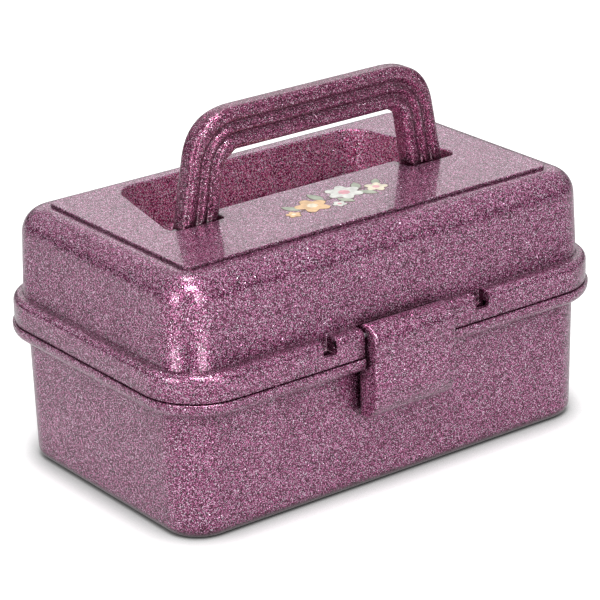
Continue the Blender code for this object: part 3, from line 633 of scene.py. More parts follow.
def build_lid():
    step = LID_FILLET + PANEL_STEP
    edge = PANEL_EDGE
    rings = [lid_ring(step + edge + SUPPORT, PANEL_TOP)]
    for run, drop in quarter(edge, 3):
        rings.append(lid_ring(step + edge - run, PANEL_TOP - drop))
    rings.append(lid_ring(step, LID_TOP))
    for run, drop in quarter(LID_FILLET):
        rings.append(lid_ring(LID_FILLET - run, LID_TOP - drop))
    for z in (LID_TOP - LID_FILLET - SUPPORT, LID_FOOT + VALLEY_ROUND):
        rings.append(lid_ring(0, z))
    rings.append(lid_ring(-0.3 * VALLEY_ROUND, LID_FOOT + 0.3 * VALLEY_ROUND))
    rings.append(lid_ring(-VALLEY_ROUND, LID_FOOT))
    for run, drop in quarter(FLANGE_TOP_ROUND, 8):
        inward = LID_SET_BACK + FLANGE_TOP_ROUND - run
        rings.append(case_ring(inward, inward, LID_FOOT - drop))
    rings.append(case_ring(LID_SET_BACK, LID_SET_BACK, LID_FOOT - FLANGE_TOP_ROUND - SUPPORT))
    for run, rise in reversed(quarter(RIM_ROUND, 3)):
        inward = LID_SET_BACK + RIM_ROUND - run
        rings.append(case_ring(inward, inward, SEAM + rise))
    far = GROOVE_INSET + GROOVE_WIDTH
    roof = SEAM + GROOVE_DEPTH
    for inset, z in ((GROOVE_INSET, SEAM), (GROOVE_INSET, roof), (far, roof), (far, SEAM)):
        rings.append(case_ring(inset, inset, z))
    rings.append(lid_ring(WALL, SEAM))
    inside = LID_FILLET - WALL
    for run, drop in reversed(quarter(inside)):
        rings.append(lid_ring(WALL + inside - run, LID_TOP - WALL - drop))
    bm = bmesh.new()
    rows = skin(bm, rings)
    floor = PANEL_TOP - RECESS_DEPTH
    well = [recess_ring(-RECESS_RIM - SUPPORT, PANEL_TOP)]
    for run, drop in quarter(RECESS_RIM, 4):
        well.append(recess_ring(-RECESS_RIM + run, PANEL_TOP - drop))
    for run, drop in quarter(RECESS_FLOOR_ROUND, 6):
        well.append(recess_ring(RECESS_DRAFT + drop, floor + RECESS_FLOOR_ROUND - run))
    inner_rows = skin(bm, well)
    bm.faces.new(inner_rows[-1])
    fill_between(bm, rows[0], inner_rows[0])
    under = [
        recess_ring(-RECESS_WALL, LID_TOP - WALL),
        recess_ring(RECESS_DRAFT - RECESS_WALL, floor - RECESS_WALL),
    ]
    under_rows = skin(bm, under)
    bm.faces.new(under_rows[-1])
    fill_between(bm, rows[-1], under_rows[0])
    lid = to_object(bm, "lid_body")
    opening_back = LID_FRONT - GAP
    opening_top = LID_FOOT + CUT_HEADROOM
    for side in (-1, 1):
        join(lid, rod(
            side * (PLATFORM_HALF - HANDLE_BOSS_LENGTH), side * (PLATFORM_HALF - RECESS_WALL / 2),
            HANDLE_Y, HANDLE_AXIS_Z, HANDLE_BOSS_RADIUS))
        cut(lid, rod(
            side * (PLATFORM_HALF - HANDLE_PIN_BITE - GAP), side * (PLATFORM_HALF + MM),
            HANDLE_Y, HANDLE_AXIS_Z, HANDLE_PIN_RADIUS + GAP))
        low_y = FLANGE_FRONT + LID_SET_BACK + GROOVE_INSET / 2
        xs = sorted((side * (BLOCK_START - MM), side * (NOTCH_START + MM)))
        join(lid, soft_box(
            (xs[0], low_y, SEAM + RIM_ROUND),
            (xs[1], LID_FRONT + WALL / 2, LID_FOOT - FLANGE_TOP_ROUND)))
        xs = sorted((side * NOTCH_START, side * (NOTCH_START + NOTCH_WIDTH)))
        cut(lid, soft_box(
            (xs[0], -FLANGE_DEPTH, LID_FOOT - NOTCH_DEPTH),
            (xs[1], opening_back, opening_top), NOTCH_ROUND))
    cut(lid, soft_box(
        (-BLOCK_START, -FLANGE_DEPTH, 0), (BLOCK_START, opening_back, opening_top), NOTCH_ROUND))
    pin_end = NOTCH_START + GAP
    cut(lid, rod(-pin_end, pin_end, LATCH_Y, LATCH_Z, LATCH_PIN_RADIUS + GAP))
    for side in (-1, 1):
        lid_span = knuckle_spans(side)[0]
        join(lid, hinge_web(*lid_span, SEAM + KNUCKLE_ROOM, LID_FOOT - FLANGE_TOP_ROUND))
        join(lid, rod(*lid_span, HINGE_Y, HINGE_Z, KNUCKLE_RADIUS, EDGE_ROUND))
        hole = (lid_span[0] - GAP, lid_span[1] + GAP)
        cut(lid, rod(*hole, HINGE_Y, HINGE_Z, HINGE_PIN_RADIUS + GAP))
        y, z = tray_lid_point()
        face = TRAY_HALF + GAP
        end = FLANGE_LENGTH / 2 - LID_INSET_END - WALL / 2
        join(lid, rod(side * face, side * end, y, z, BOSS_RADIUS))
        tip = face + PIN_BITE + GAP
        cut(lid, rod(side * (face - MM), side * tip, y, z, PIN_RADIUS + GAP))
    return place(bake(lid), "lid", "lid_shell", "shell")


# Handle

def handle_section(width):
    """Outward and forward offsets of the grooved bar, all round."""
    half_w = width / 2
    half_t = HANDLE_THICK / 2
    face = arc(half_w - HANDLE_EDGE, half_t - HANDLE_EDGE, HANDLE_EDGE, 0, 90, 8)
    for centre in HANDLE_GROOVES:
        half = HANDLE_GROOVE_WIDTH * HANDLE_GROOVE_SPREAD
        for k in range(9):
            along = k / 8
            depth = HANDLE_GROOVE_DEPTH * math.sin(math.pi * along) ** 2
            face.append((centre + half - 2 * half * along, half_t - depth))
    face += arc(HANDLE_EDGE - half_w, half_t - HANDLE_EDGE, HANDLE_EDGE, 90, 180, 8)
    return face + [(u, -v) for u, v in reversed(face)]


def handle_path():
    """Centre line points, outward normals and widths in the XZ plane, from foot to foot."""
    bar_z = HANDLE_AXIS_Z + HANDLE_REACH - HANDLE_WIDTH / 2
    corner_x = HANDLE_FOOT_HALF - (bar_z - HANDLE_AXIS_Z) * math.tan(HANDLE_LEAN)
    turn = math.pi / 2 - HANDLE_LEAN
    reach = HANDLE_BEND * math.tan(turn / 2)
    centre = (corner_x - reach, bar_z - HANDLE_BEND)
    right = [((centre[0] - MM, bar_z), (0.0, 1.0), HANDLE_WIDTH)]
    for i in range(HANDLE_BEND_STEPS + 1):
        share = i / HANDLE_BEND_STEPS
        t = math.pi / 2 - turn * share
        normal = (math.cos(t), math.sin(t))
        spot = (centre[0] + HANDLE_BEND * normal[0], centre[1] + HANDLE_BEND * normal[1])
        plain = HANDLE_WIDTH + (HANDLE_LEG_WIDTH - HANDLE_WIDTH) * share
        right.append((spot, normal, plain + HANDLE_BEND_SWELL * math.sin(math.pi * share) ** 2))
    last = right[-1][0]
    foot = (HANDLE_FOOT_HALF, HANDLE_AXIS_Z)
    for share in HANDLE_LEG_STATIONS:
        spot = (last[0] + (foot[0] - last[0]) * share, last[1] + (foot[1] - last[1]) * share)
        right.append((spot, right[-1][1], HANDLE_LEG_WIDTH + HANDLE_FLARE * share))
    left = [((-p[0], p[1]), (-n[0], n[1]), width) for p, n, width in reversed(right)]
    return left + right


def build_handle():
    rings = []
    for (x, z), (nx, nz), width in handle_path():
        section = handle_section(width)
        rings.append([(x + u * nx, HANDLE_Y - v, z + u * nz) for u, v in section])
    handle = to_object(stack(rings), "handle_body", 60)
    inner = HANDLE_FOOT_HALF - HANDLE_FOOT_REACH
    outer = HANDLE_FOOT_HALF + HANDLE_FOOT_REACH
    for side in (-1, 1):
        join(handle, rod(
            side * inner, side * outer, HANDLE_Y, HANDLE_AXIS_Z, HANDLE_THICK / 2, HANDLE_EDGE / 2))
        cut(handle, rod(
            side * (inner - HANDLE_THICK / 2), side * (outer + HANDLE_THICK / 2),
            HANDLE_Y, HANDLE_AXIS_Z, HANDLE_PIN_RADIUS + GAP))
    return place(bake(handle, 50), "handle", "carry_handle", "handle")


# Latch

def latch_outline(inset):
    """Side view of the latch's front face and its curled foot, top to bottom."""
    front = LATCH_Y - LATCH_FACE + inset
    curl_top = LATCH_Z - LATCH_CURL_START
    bottom = LATCH_Z - LATCH_DROP + inset
    back = LATCH_BACK - LATCH_TOE_LIFT * 2
    points = [(front, curl_top)]
    for i in range(1, 15):
        t = math.pi / 2 * i / 14
        y = back + (front - back) * math.cos(t) ** 0.8
        points.append((y, curl_top + (bottom - curl_top) * math.sin(t)))
    return points


def latch_front():
    """The hood over the barrel, and the slightly hollow face under it."""
    face = LATCH_FACE / MM
    points = []
    for out, up in (
            (0.6, 4.86), (1.9, 4.6), (3.2, 4.15), (4.7, 3.5), (6.2, 2.6), (7.5, 1.3),
            (8.3, -0.2), (face - 0.05, -1.8), (face, -3.6), (face - 0.25, -5.6),
            (face - 0.65, -7.8), (face - 0.85, -10.5), (face - 0.8, -14.0),
            (face - 0.5, -18.0), (face - 0.15, -21.5)):
        points.append((LATCH_Y - out * MM, LATCH_Z + up * MM))
    return points


def build_latch():
    shoulder = BASE_HEIGHT - LATCH_SHOULDER_DROP
    outline = arc(LATCH_Y, LATCH_Z, LATCH_BARREL, -8, 84, 12)
    outline += latch_front()
    outline += latch_outline(0)
    toe = LATCH_Z - LATCH_DROP + LATCH_TOE_LIFT
    outline += [(LATCH_BACK, toe), (LATCH_BACK, shoulder)]
    latch = to_object(slab(outline, -LATCH_HALF, LATCH_HALF, LATCH_EDGE), "latch_body", 50)
    hollow = [(BASE_FRONT, shoulder), (LATCH_Y - LATCH_FACE + LATCH_WEB, shoulder)]
    hollow += latch_outline(LATCH_WEB)
    hollow.append((BASE_FRONT, LATCH_Z - LATCH_DROP + LATCH_WEB))
    half = LATCH_HALF - LATCH_CHEEK
    cut(latch, slab(hollow, -half, half))
    hook_top = CATCH_TOP - CATCH_HEIGHT - HOOK_DROP
    join(latch, soft_box(
        (-CATCH_HALF, LATCH_Y - LATCH_FACE + LATCH_WEB / 2, hook_top - HOOK_HEIGHT),
        (CATCH_HALF, BASE_FRONT - CATCH_OUT - GAP, hook_top)))
    cut(latch, rod(
        -LATCH_HALF - MM, LATCH_HALF + MM, LATCH_Y, LATCH_Z, LATCH_PIN_RADIUS + GAP))
    return place(bake(latch, 50), "latch", "latch", "shell")


# Pins

def pin(name, body, x0, x1, y, z, radius, head_radius=0.0, head=0.0):
    """A pin along X, with a round head at x0 where head isn't zero."""
    way = math.copysign(1.0, x1 - x0)
    edge = 0.25 * MM
    stations = []
    if head:
        stations = [
            (x0, head_radius - 2 * edge), (x0 + way * edge, head_radius - edge / 2),
            (x0 + way * 2 * edge, head_radius), (x0 + way * head, head_radius),
            (x0 + way * head, radius)]
    else:
        stations = [(x0, radius - edge), (x0 + way * edge, radius)]
    stations += [(x1 - way * edge, radius), (x1, radius - edge)]
    obj = to_object(turned(stations, y, z), name + "_body", 35)
    return place(obj, body, name, "steel")


def build_pins():
    pins = []
    by, bz = arm_base_point()
    ly, lz = tray_lid_point()
    tray_inner = tray_pin_inner()
    for side, hand in ((-1, "left"), (1, "right")):
        head_x = HANDLE_FOOT_HALF + HANDLE_FOOT_REACH + GAP + HANDLE_PIN_HEAD
        pins.append(pin(
            "handle_pin_" + hand, "lid", side * head_x, side * (PLATFORM_HALF - HANDLE_PIN_BITE),
            HANDLE_Y, HANDLE_AXIS_Z, HANDLE_PIN_RADIUS, HANDLE_PIN_HEAD_RADIUS, HANDLE_PIN_HEAD))
        spans = knuckle_spans(side)[1]
        pins.append(pin(
            "hinge_pin_" + hand, "base", spans[0][0], spans[1][1],
            HINGE_Y, HINGE_Z, HINGE_PIN_RADIUS))
        head_x = arm_plane() - GAP - PIN_HEAD
        tip_x = arm_plane() + ARM_THICK + GAP + PIN_BITE
        pins.append(pin(
            "arm_base_pin_" + hand, "base", side * head_x, side * tip_x, by, bz,
            PIN_RADIUS, PIN_HEAD_RADIUS, PIN_HEAD))
        head_x = arm_plane() + ARM_THICK + GAP + PIN_HEAD
        pins.append(pin(
            "arm_tray_pin_" + hand, "tray", side * head_x, side * tray_inner,
            ARM_TRAY_Y, ARM_TRAY_Z, PIN_RADIUS, PIN_HEAD_RADIUS, PIN_HEAD))
        head_x = tray_inner - GAP - PIN_HEAD
        tip_x = TRAY_HALF + GAP + PIN_BITE
        pins.append(pin(
            "tray_lid_pin_" + hand, "lid", side * head_x, side * tip_x, ly, lz,
            PIN_RADIUS, PIN_HEAD_RADIUS, PIN_HEAD))
    end = NOTCH_START - LATCH_PIN_SET_IN
    pins.append(pin("latch_pin", "lid", -end, end, LATCH_Y, LATCH_Z, LATCH_PIN_RADIUS))
    return pins


# Tray and arms

def tray_ring(inset, z):
    inset += (TRAY_RIM - z) * math.tan(TRAY_DRAFT)
    centre_y = (TRAY_FRONT + TRAY_BACK) / 2
    half_y = (TRAY_BACK - TRAY_FRONT) / 2
    return rounded_ring(TRAY_HALF - inset, half_y - inset, TRAY_CORNER - inset, z, centre_y)


def build_tray():
    y, z = tray_lid_point()
    rings = [tray_ring(TRAY_FLOOR_ROUND + SUPPORT, TRAY_BOTTOM)]
    for run, rise in quarter(TRAY_FLOOR_ROUND, 6):
        rings.append(tray_ring(TRAY_FLOOR_ROUND - run, TRAY_BOTTOM + rise))
    low = TRAY_RIM - TRAY_RIM_ROUND
    for run, rise in quarter(TRAY_RIM_ROUND, 4):
        rings.append(tray_ring(rise, low + run))
    for run, rise in reversed(quarter(TRAY_RIM_ROUND, 4)):
        rings.append(tray_ring(TRAY_WALL - rise, low + run))
    inside = TRAY_FLOOR_ROUND - TRAY_WALL
    for run, rise in reversed(quarter(inside, 6)):
        rings.append(tray_ring(TRAY_WALL + inside - run, TRAY_BOTTOM + TRAY_WALL + rise))
    tray = to_object(stack(rings), "tray_body")
    pitch = 2 * TRAY_HALF / (TRAY_DIVIDERS + 1)
    draft = TRAY_HEIGHT * math.tan(TRAY_DRAFT)
    divider_inset = draft + TRAY_WALL - DIVIDER_BITE
    for i in range(TRAY_DIVIDERS):
        x = -TRAY_HALF + (i + 1) * pitch
        join(tray, soft_box(
            (x - TRAY_WALL / 2, TRAY_FRONT + divider_inset, TRAY_BOTTOM + TRAY_WALL / 2),
            (x + TRAY_WALL / 2, TRAY_BACK - divider_inset, TRAY_RIM - DIVIDER_DROP)))
    inner = tray_pin_inner()
    for side in (-1, 1):
        join(tray, rod(
            side * inner, side * (arm_plane() - GAP),
            ARM_TRAY_Y, ARM_TRAY_Z, BOSS_RADIUS, EDGE_ROUND))
        cut(tray, rod(
            side * (inner - BOSS_RADIUS), side * (arm_plane() + MM),
            ARM_TRAY_Y, ARM_TRAY_Z, PIN_RADIUS + GAP))
        join(tray, rod(side * inner, side * TRAY_HALF, y, z, BOSS_RADIUS, EDGE_ROUND))
        cut(tray, rod(
            side * (inner - BOSS_RADIUS), side * (TRAY_HALF + MM), y, z, PIN_RADIUS + GAP))
    return place(bake(tray), "tray", "tray", "tray")


def build_arms():
    by, bz = arm_base_point()
    lean = math.degrees(math.atan2(ARM_TRAY_Z - bz, ARM_TRAY_Y - by))
    arms = []
    for side, hand in ((-1, "left"), (1, "right")):
        outline = arc(ARM_TRAY_Y, ARM_TRAY_Z, ARM_WIDTH / 2, lean - 90, lean + 90, 20)
        outline += arc(by, bz, ARM_WIDTH / 2, lean + 90, lean + 270, 20)
        ends = (side * arm_plane(), side * (arm_plane() + ARM_THICK))
        arm = to_object(slab(outline, *ends, EDGE_ROUND), "arm_body_" + hand)
        for y, z in ((by, bz), (ARM_TRAY_Y, ARM_TRAY_Z)):
            span = (side * (arm_plane() - MM), side * (arm_plane() + ARM_THICK + MM))
            cut(arm, rod(*span, y, z, PIN_RADIUS + GAP))
        arms.append(place(bake(arm), "arm_" + hand, "tray_arm_" + hand, "tray"))
    return arms


# Materials

def node(tree, kind, **settings):
    made = tree.nodes.new(kind)
    for key, value in settings.items():
        setattr(made, key, value)
    return made


def ramp(tree, stops, interpolation="LINEAR"):
    made = tree.nodes.new("ShaderNodeValToRGB")
    made.color_ramp.interpolation = interpolation
    elements = made.color_ramp.elements
    while len(elements) < len(stops):
        elements.new(0.5)
    for element, (position, colour) in zip(elements, stops):
        element.position = position
        element.color = (*colour, 1.0)
    return made


def new_material(name):
    """A material with its node tree, its shader and the piece's own coordinates."""
    mat = bpy.data.materials.new(name)
    mat.use_nodes = True
    tree = mat.node_tree
    coords = node(tree, "ShaderNodeTexCoord").outputs["Object"]
    return mat, tree, tree.nodes["Principled BSDF"], coords


def noise(tree, coords, scale, detail=None):
    made = node(tree, "ShaderNodeTexNoise")
    made.inputs["Scale"].default_value = scale
    if detail:
        made.inputs["Detail"].default_value = detail
    tree.links.new(coords, made.inputs["Vector"])
    return made.outputs["Fac"]


def multiply(tree, first, second):
    made = node(tree, "ShaderNodeMix", data_type="RGBA", blend_type="MULTIPLY")
    made.inputs["Factor"].default_value = 1.0
    tree.links.new(first, made.inputs["A"])
    tree.links.new(second, made.inputs["B"])
    return made.outputs["Result"]


def grey(level):
    return (level, level, level)


def glitter_material(name, stops, lean, gloss, coat):
    """Metallic flakes in clear plastic. Each cell is a flake with its own tone and lean. Creases
    and hollows get painted shade.
    """
    mat, tree, shader, coords = new_material(name)
    cells = node(tree, "ShaderNodeTexVoronoi", feature="F1", voronoi_dimensions="3D")
    cells.inputs["Scale"].default_value = 1.0 / FLAKE
    tree.links.new(coords, cells.inputs["Vector"])
    dice = node(tree, "ShaderNodeTexWhiteNoise", noise_dimensions="3D")
    tree.links.new(cells.outputs["Color"], dice.inputs["Vector"])
    split = node(tree, "ShaderNodeSeparateColor")
    tree.links.new(dice.outputs["Color"], split.inputs["Color"])
    colours = ramp(tree, stops)
    tree.links.new(split.outputs["Red"], colours.inputs["Fac"])
    shade = ramp(tree, [(0.3, (0.86, 0.84, 0.86)), (0.7, grey(1.0))])
    tree.links.new(noise(tree, coords, 60.0), shade.inputs["Fac"])
    mixed = multiply(tree, colours.outputs["Color"], shade.outputs["Color"])
    # Painted shade: an occlusion node darkens the colour in creases, notches, seams and grooves
    crease_occlusion = node(tree, "ShaderNodeAmbientOcclusion", samples=6)
    crease_occlusion.inputs["Distance"].default_value = CREASE_PAINTED_SHADE_REACH
    depth = ramp(tree, [(0.5, CREASE_PAINTED_SHADE), (0.95, grey(1.0))])
    tree.links.new(crease_occlusion.outputs["AO"], depth.inputs["Fac"])
    painted_shade_colour = multiply(tree, mixed, depth.outputs["Color"])
    tree.links.new(painted_shade_colour, shader.inputs["Base Color"])
    leans = ramp(tree, [(0.0, grey(lean)), (LEVEL_FLAKES, grey(1.0))], "CONSTANT")
    tree.links.new(split.outputs["Green"], leans.inputs["Fac"])
    centred = node(tree, "ShaderNodeVectorMath", operation="SUBTRACT")
    centred.inputs[1].default_value = (0.5, 0.5, 0.5)
    tree.links.new(cells.outputs["Color"], centred.inputs[0])
    scaled = node(tree, "ShaderNodeVectorMath", operation="MULTIPLY")
    tree.links.new(centred.outputs[0], scaled.inputs[0])
    tree.links.new(leans.outputs["Color"], scaled.inputs[1])
    geometry = node(tree, "ShaderNodeNewGeometry")
    leaning = node(tree, "ShaderNodeVectorMath", operation="ADD")
    tree.links.new(geometry.outputs["Normal"], leaning.inputs[0])
    tree.links.new(scaled.outputs[0], leaning.inputs[1])
    facing = node(tree, "ShaderNodeVectorMath", operation="NORMALIZE")
    tree.links.new(leaning.outputs[0], facing.inputs[0])
    tree.links.new(facing.outputs[0], shader.inputs["Normal"])
    shader.inputs["Metallic"].default_value = FLAKE_METALLIC
    shader.inputs["Roughness"].default_value = gloss
    shader.inputs["Coat Weight"].default_value = coat
    shader.inputs["Coat Roughness"].default_value = COAT_ROUGHNESS
    shader.inputs["Coat IOR"].default_value = COAT_IOR
    return mat


def satin_material(name, colour):
    """Moulded plastic with a faint grain and slightly uneven colour."""
    mat, tree, shader, coords = new_material(name)
    colours = ramp(tree, [(0.3, tuple(0.9 * c for c in colour)), (0.7, colour)])
    tree.links.new(noise(tree, coords, 40.0), colours.inputs["Fac"])
    tree.links.new(colours.outputs["Color"], shader.inputs["Base Color"])
    bump = node(tree, "ShaderNodeBump")
    bump.inputs["Strength"].default_value = 0.15
    bump.inputs["Distance"].default_value = 0.1 * MM
    tree.links.new(noise(tree, coords, 900.0, 3.0), bump.inputs["Height"])
    tree.links.new(bump.outputs["Normal"], shader.inputs["Normal"])
    shader.inputs["Roughness"].default_value = 0.38
    return mat


def steel_material(name):
    """Drawn wire, with fine streaks along its length."""
    mat, tree, shader, coords = new_material(name)
    stretch = node(tree, "ShaderNodeMapping")
    stretch.inputs["Scale"].default_value = (60.0, 2500.0, 2500.0)
    tree.links.new(coords, stretch.inputs["Vector"])
    colours = ramp(tree, [(0.3, (0.42, 0.42, 0.44)), (0.7, (0.66, 0.66, 0.68))])
    tree.links.new(noise(tree, stretch.outputs["Vector"], 1.0), colours.inputs["Fac"])
    tree.links.new(colours.outputs["Color"], shader.inputs["Base Color"])
    shader.inputs["Metallic"].default_value = 1.0
    shader.inputs["Roughness"].default_value = 0.3
    return mat


def print_material(name, colour):
    """Ink on clear film, a little uneven in depth."""
    mat, tree, shader, coords = new_material(name)
    colours = ramp(tree, [(0.35, tuple(0.72 * c for c in colour)), (0.65, colour)])
    tree.links.new(noise(tree, coords, 350.0, 3.0), colours.inputs["Fac"])
    tree.links.new(colours.outputs["Color"], shader.inputs["Base Color"])
    shader.inputs["Roughness"].default_value = 0.35
    return mat


def dress(obj, mat):
    obj.data.materials.clear()
    obj.data.materials.append(mat)


def inside(x, y, outline):
    """True where the point lies inside the closed outline."""
    hits = 0
    for (x0, y0), (x1, y1) in zip(outline, outline[1:] + outline[:1]):
        if (y0 > y) != (y1 > y) and x < x0 + (x1 - x0) * (y - y0) / (y1 - y0):
            hits += 1
    return hits % 2 == 1


def dress_well_with_painted_light(lid, mat):
    """Give the faces of the handle's recess their paler glitter: painted light.

    Its walls stand free inside the lid, and the paler colour stands in for light that comes through
    them.
    """
    lid.data.materials.append(mat)
    outline = recess_outline(-0.2 * MM)
    low, high = PANEL_TOP - RECESS_DEPTH - 0.1 * MM, PANEL_TOP - 0.2 * MM
    for face in lid.data.polygons:
        x, y, z = face.center
        if low < z < high and inside(x, y, outline):
            face.material_index = 1


# The printed sprig on the panel

def blossom(x, y, radius, petals, dent, turn):
    """Outline of a flower head with round petals."""
    points = []
    for i in range(petals * 12):
        t = 2 * math.pi * i / (petals * 12)
        reach = radius * (1 - dent * abs(math.sin(petals * (t - turn) / 2)) ** 3)
        points.append((x + reach * math.cos(t), y + reach * math.sin(t)))
    return points


def leaf(x, y, length, width, heading):
    """Outline of a pointed leaf that starts at x, y."""
    heading = math.radians(heading)
    along = (math.cos(heading), math.sin(heading))
    points = []
    for i in range(24):
        share = i / 12 if i < 12 else 2 - i / 12
        out = math.sin(math.pi * share) ** 0.9 * width / 2 * (1 if i < 12 else -1)
        points.append((
            x + length * share * along[0] - out * along[1],
            y + length * share * along[1] + out * along[0]))
    return points


def stem_y(x):
    return 0.16 * x - 0.004 * x * x


def stem(start, end, width):
    """Outline of the thin curved stem."""
    xs = [start + (end - start) * i / 24 for i in range(25)]
    low = [(x, stem_y(x) - width / 2) for x in xs]
    return low + [(x, stem_y(x) + width / 2) for x in reversed(xs)]


def print_layer(name, outlines, level, mat):
    """Thin closed films of one colour, in millimetres from the middle of the print."""
    bm = bmesh.new()
    for outline in outlines:
        rings = []
        for z in (PANEL_TOP, PANEL_TOP + level * PRINT_FILM):
            rings.append([(PRINT_X + x * MM, PRINT_Y + y * MM, z) for x, y in outline])
        rows = skin(bm, rings)
        bm.faces.new(rows[0])
        bm.faces.new(rows[-1])
    film = to_object(bm, name)
    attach(film, "lid")
    dress(film, mat)
    return film


def build_print():
    line = print_material("print_line", (0.12, 0.07, 0.06))
    apricot = print_material("print_apricot", (0.88, 0.58, 0.32))
    pale = print_material("print_pale", (0.82, 0.83, 0.78))
    green = print_material("print_green", (0.46, 0.5, 0.4))
    cream = print_material("print_cream", (0.92, 0.84, 0.66))
    pink = print_material("print_pink", (0.85, 0.42, 0.48))
    heads = {
        "apricot": [(-13.5, -2.5, 8.4, 5, 0.34, 0.3), (-27.0, -6.5, 3.6, 5, 0.3, 0.1)],
        "pale": [(8.5, 2.5, 9.0, 6, 0.3, 0.2), (-2.5, -8.5, 3.4, 5, 0.3, 0.5)],
        "cream": [(24.5, -1.0, 5.6, 5, 0.34, 0.9)],
    }
    leaves = [
        (-21.0, -4.0, 10.0, 4.6, 118), (-5.0, 0.0, 11.0, 4.8, 98), (16.0, 2.0, 9.5, 4.4, 62),
        (1.0, -2.0, 9.0, 4.4, -62), (15.0, 0.0, 9.5, 4.4, -58), (26.0, 2.0, 8.0, 3.8, 48)]
    rims = [
        blossom(x, y, radius + 0.45, petals, dent, turn)
        for group in heads.values() for x, y, radius, petals, dent, turn in group]
    rims += [
        leaf(x, y, length + 0.5, width + 0.8, heading)
        for x, y, length, width, heading in leaves]
    print_layer("print_outline", rims + [stem(-27.0, 26.0, 0.8)], 1, line)
    print_layer("print_leaves", [leaf(*sizes) for sizes in leaves], 2, green)
    for (name, group), mat in zip(heads.items(), (apricot, pale, cream)):
        print_layer("print_" + name + "_petals", [blossom(*sizes) for sizes in group], 3, mat)
    for name, mat, group in (
            ("cream", cream, heads["apricot"]), ("pink", pink, heads["pale"] + heads["cream"])):
        hearts = [blossom(x, y, r * 0.32, 8, 0.12, 0) for x, y, r, *_ in group]
        print_layer("print_" + name + "_hearts", hearts, 4, mat)


# Stage

def build_camera():
    data = bpy.data.cameras.new("camera")
    data.sensor_width = CAMERA_SENSOR
    data.lens = CAMERA_LENS
    data.clip_start = 0.05
    data.clip_end = 30.0
    camera = bpy.data.objects.new("camera", data)
    bpy.context.scene.collection.objects.link(camera)
    forward = Vector(CAMERA_FORWARD).normalized()
    up = Vector(CAMERA_UP)
    right = forward.cross(up).normalized()
    up = right.cross(forward)
    turn = Matrix((right, up, -forward)).transposed().to_4x4()
    camera.matrix_world = Matrix.Translation(CAMERA_PLACE) @ turn
    bpy.context.scene.camera = camera


def area_light(name, place, target, size, power):
    data = bpy.data.lights.new(name, "AREA")
    data.shape = "RECTANGLE"
    data.size, data.size_y = size
    data.energy = power
    lamp = bpy.data.objects.new(name, data)
    lamp.location = place
    lamp.rotation_euler = (Vector(target) - Vector(place)).to_track_quat("-Z", "Y").to_euler()
    bpy.context.scene.collection.objects.link(lamp)


def floor_material():
    """White paper for the camera, with a painted contact shadow only where the case stands on it.

    Other rays see it grey, so that it lights the case less.
    """
    mat = bpy.data.materials.new("floor_material")
    mat.use_nodes = True
    tree = mat.node_tree
    tree.nodes.clear()
    path = node(tree, "ShaderNodeLightPath")
    # Painted shadow: an occlusion node darkens the camera's paper colour and its lift near the case
    shadow_occlusion = node(tree, "ShaderNodeAmbientOcclusion", samples=8)
    shadow_occlusion.inputs["Distance"].default_value = SHADOW_REACH
    painted_shadow_fade = node(tree, "ShaderNodeMath", operation="POWER")
    painted_shadow_fade.inputs[1].default_value = SHADOW_POWER
    tree.links.new(shadow_occlusion.outputs["AO"], painted_shadow_fade.inputs[0])
    paper = node(tree, "ShaderNodeMix", data_type="RGBA")
    paper.inputs["A"].default_value = (*grey(FLOOR_GREY), 1)
    tree.links.new(painted_shadow_fade.outputs[0], paper.inputs["B"])
    tree.links.new(path.outputs["Is Camera Ray"], paper.inputs["Factor"])
    plain = node(tree, "ShaderNodeBsdfDiffuse")
    tree.links.new(paper.outputs["Result"], plain.inputs["Color"])
    mirrored = node(tree, "ShaderNodeMath", operation="MULTIPLY")
    mirrored.inputs[1].default_value = FLOOR_IN_GLOSS
    tree.links.new(path.outputs["Is Glossy Ray"], mirrored.inputs[0])
    lift = node(tree, "ShaderNodeMath", operation="MULTIPLY")
    lift.inputs[1].default_value = FLOOR_LIFT
    tree.links.new(painted_shadow_fade.outputs[0], lift.inputs[0])
    strength = node(tree, "ShaderNodeMath", operation="MULTIPLY_ADD")
    tree.links.new(path.outputs["Is Camera Ray"], strength.inputs[0])
    tree.links.new(lift.outputs[0], strength.inputs[1])
    tree.links.new(mirrored.outputs[0], strength.inputs[2])
    glow = node(tree, "ShaderNodeEmission")
    glow.inputs["Color"].default_value = (1, 1, 1, 1)
    tree.links.new(strength.outputs[0], glow.inputs["Strength"])
    both = node(tree, "ShaderNodeAddShader")
    tree.links.new(plain.outputs[0], both.inputs[0])
    tree.links.new(glow.outputs[0], both.inputs[1])
    out = node(tree, "ShaderNodeOutputMaterial")
    tree.links.new(both.outputs[0], out.inputs["Surface"])
    return mat


def build_floor():
    bm = bmesh.new()
    bmesh.ops.create_grid(bm, x_segments=1, y_segments=1, size=FLOOR_HALF)
    mesh = bpy.data.meshes.new("floor")
    bm.to_mesh(mesh)
    bm.free()
    floor = link("floor", mesh)
    dress(floor, floor_material())


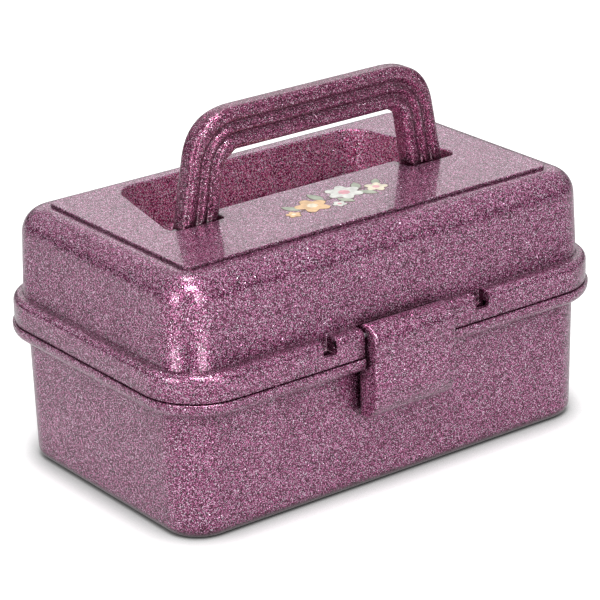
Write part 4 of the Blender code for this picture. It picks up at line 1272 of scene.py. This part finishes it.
def build_world():
    """White for the camera, and for other rays a dome that is dim near the horizon."""
    world = bpy.data.worlds.new("studio")
    bpy.context.scene.world = world
    world.use_nodes = True
    tree = world.node_tree
    back = tree.nodes["Background"]
    back.inputs["Color"].default_value = (1, 1, 1, 1)
    coords = node(tree, "ShaderNodeTexCoord")
    split = node(tree, "ShaderNodeSeparateXYZ")
    tree.links.new(coords.outputs["Generated"], split.inputs["Vector"])
    dome = node(tree, "ShaderNodeMapRange", interpolation_type="SMOOTHSTEP")
    dome.inputs["From Min"].default_value, dome.inputs["From Max"].default_value = DOME_HEIGHTS
    dome.inputs["To Min"].default_value, dome.inputs["To Max"].default_value = DOME_LEVELS
    tree.links.new(split.outputs["Z"], dome.inputs["Value"])
    path = node(tree, "ShaderNodeLightPath")
    level = node(tree, "ShaderNodeMix", data_type="FLOAT")
    level.inputs["B"].default_value = 1.0
    tree.links.new(path.outputs["Is Camera Ray"], level.inputs["Factor"])
    tree.links.new(dome.outputs["Result"], level.inputs["A"])
    tree.links.new(level.outputs["Result"], back.inputs["Strength"])


def build_stage():
    build_floor()
    build_world()
    for lamp in LAMPS:
        area_light(*lamp)


# The whole part

def well_painted_light_flakes():
    """The shell's flakes, made paler for the handle's recess: painted light."""
    return [
        (at, tuple(min(1, lift * c) for lift, c in zip(WELL_PAINTED_LIGHT, colour)))
        for at, colour in SHELL_FLAKES]


satin = satin_material("satin_tray", TRAY_COLOUR)
steel = steel_material("drawn_steel")
shell = glitter_material("glitter_shell", SHELL_FLAKES, 0.28, 0.22, 0.8)
# A paler, lit copy of the shell glitter for the recess: painted light
well = glitter_material("glitter_well_painted_light", well_painted_light_flakes(), 0.5, 0.3, 0.6)
bar = glitter_material("glitter_handle", HANDLE_FLAKES, 0.4, 0.2, 0.6)
lid_shell = build_lid()
for obj in (build_base(), lid_shell, build_latch()):
    dress(obj, shell)
dress_well_with_painted_light(lid_shell, well)
dress(build_handle(), bar)
for obj in [build_tray()] + build_arms():
    dress(obj, satin)
for obj in build_pins():
    dress(obj, steel)
build_print()
build_camera()
build_stage()
bpy.context.scene.view_settings.view_transform = "Standard"
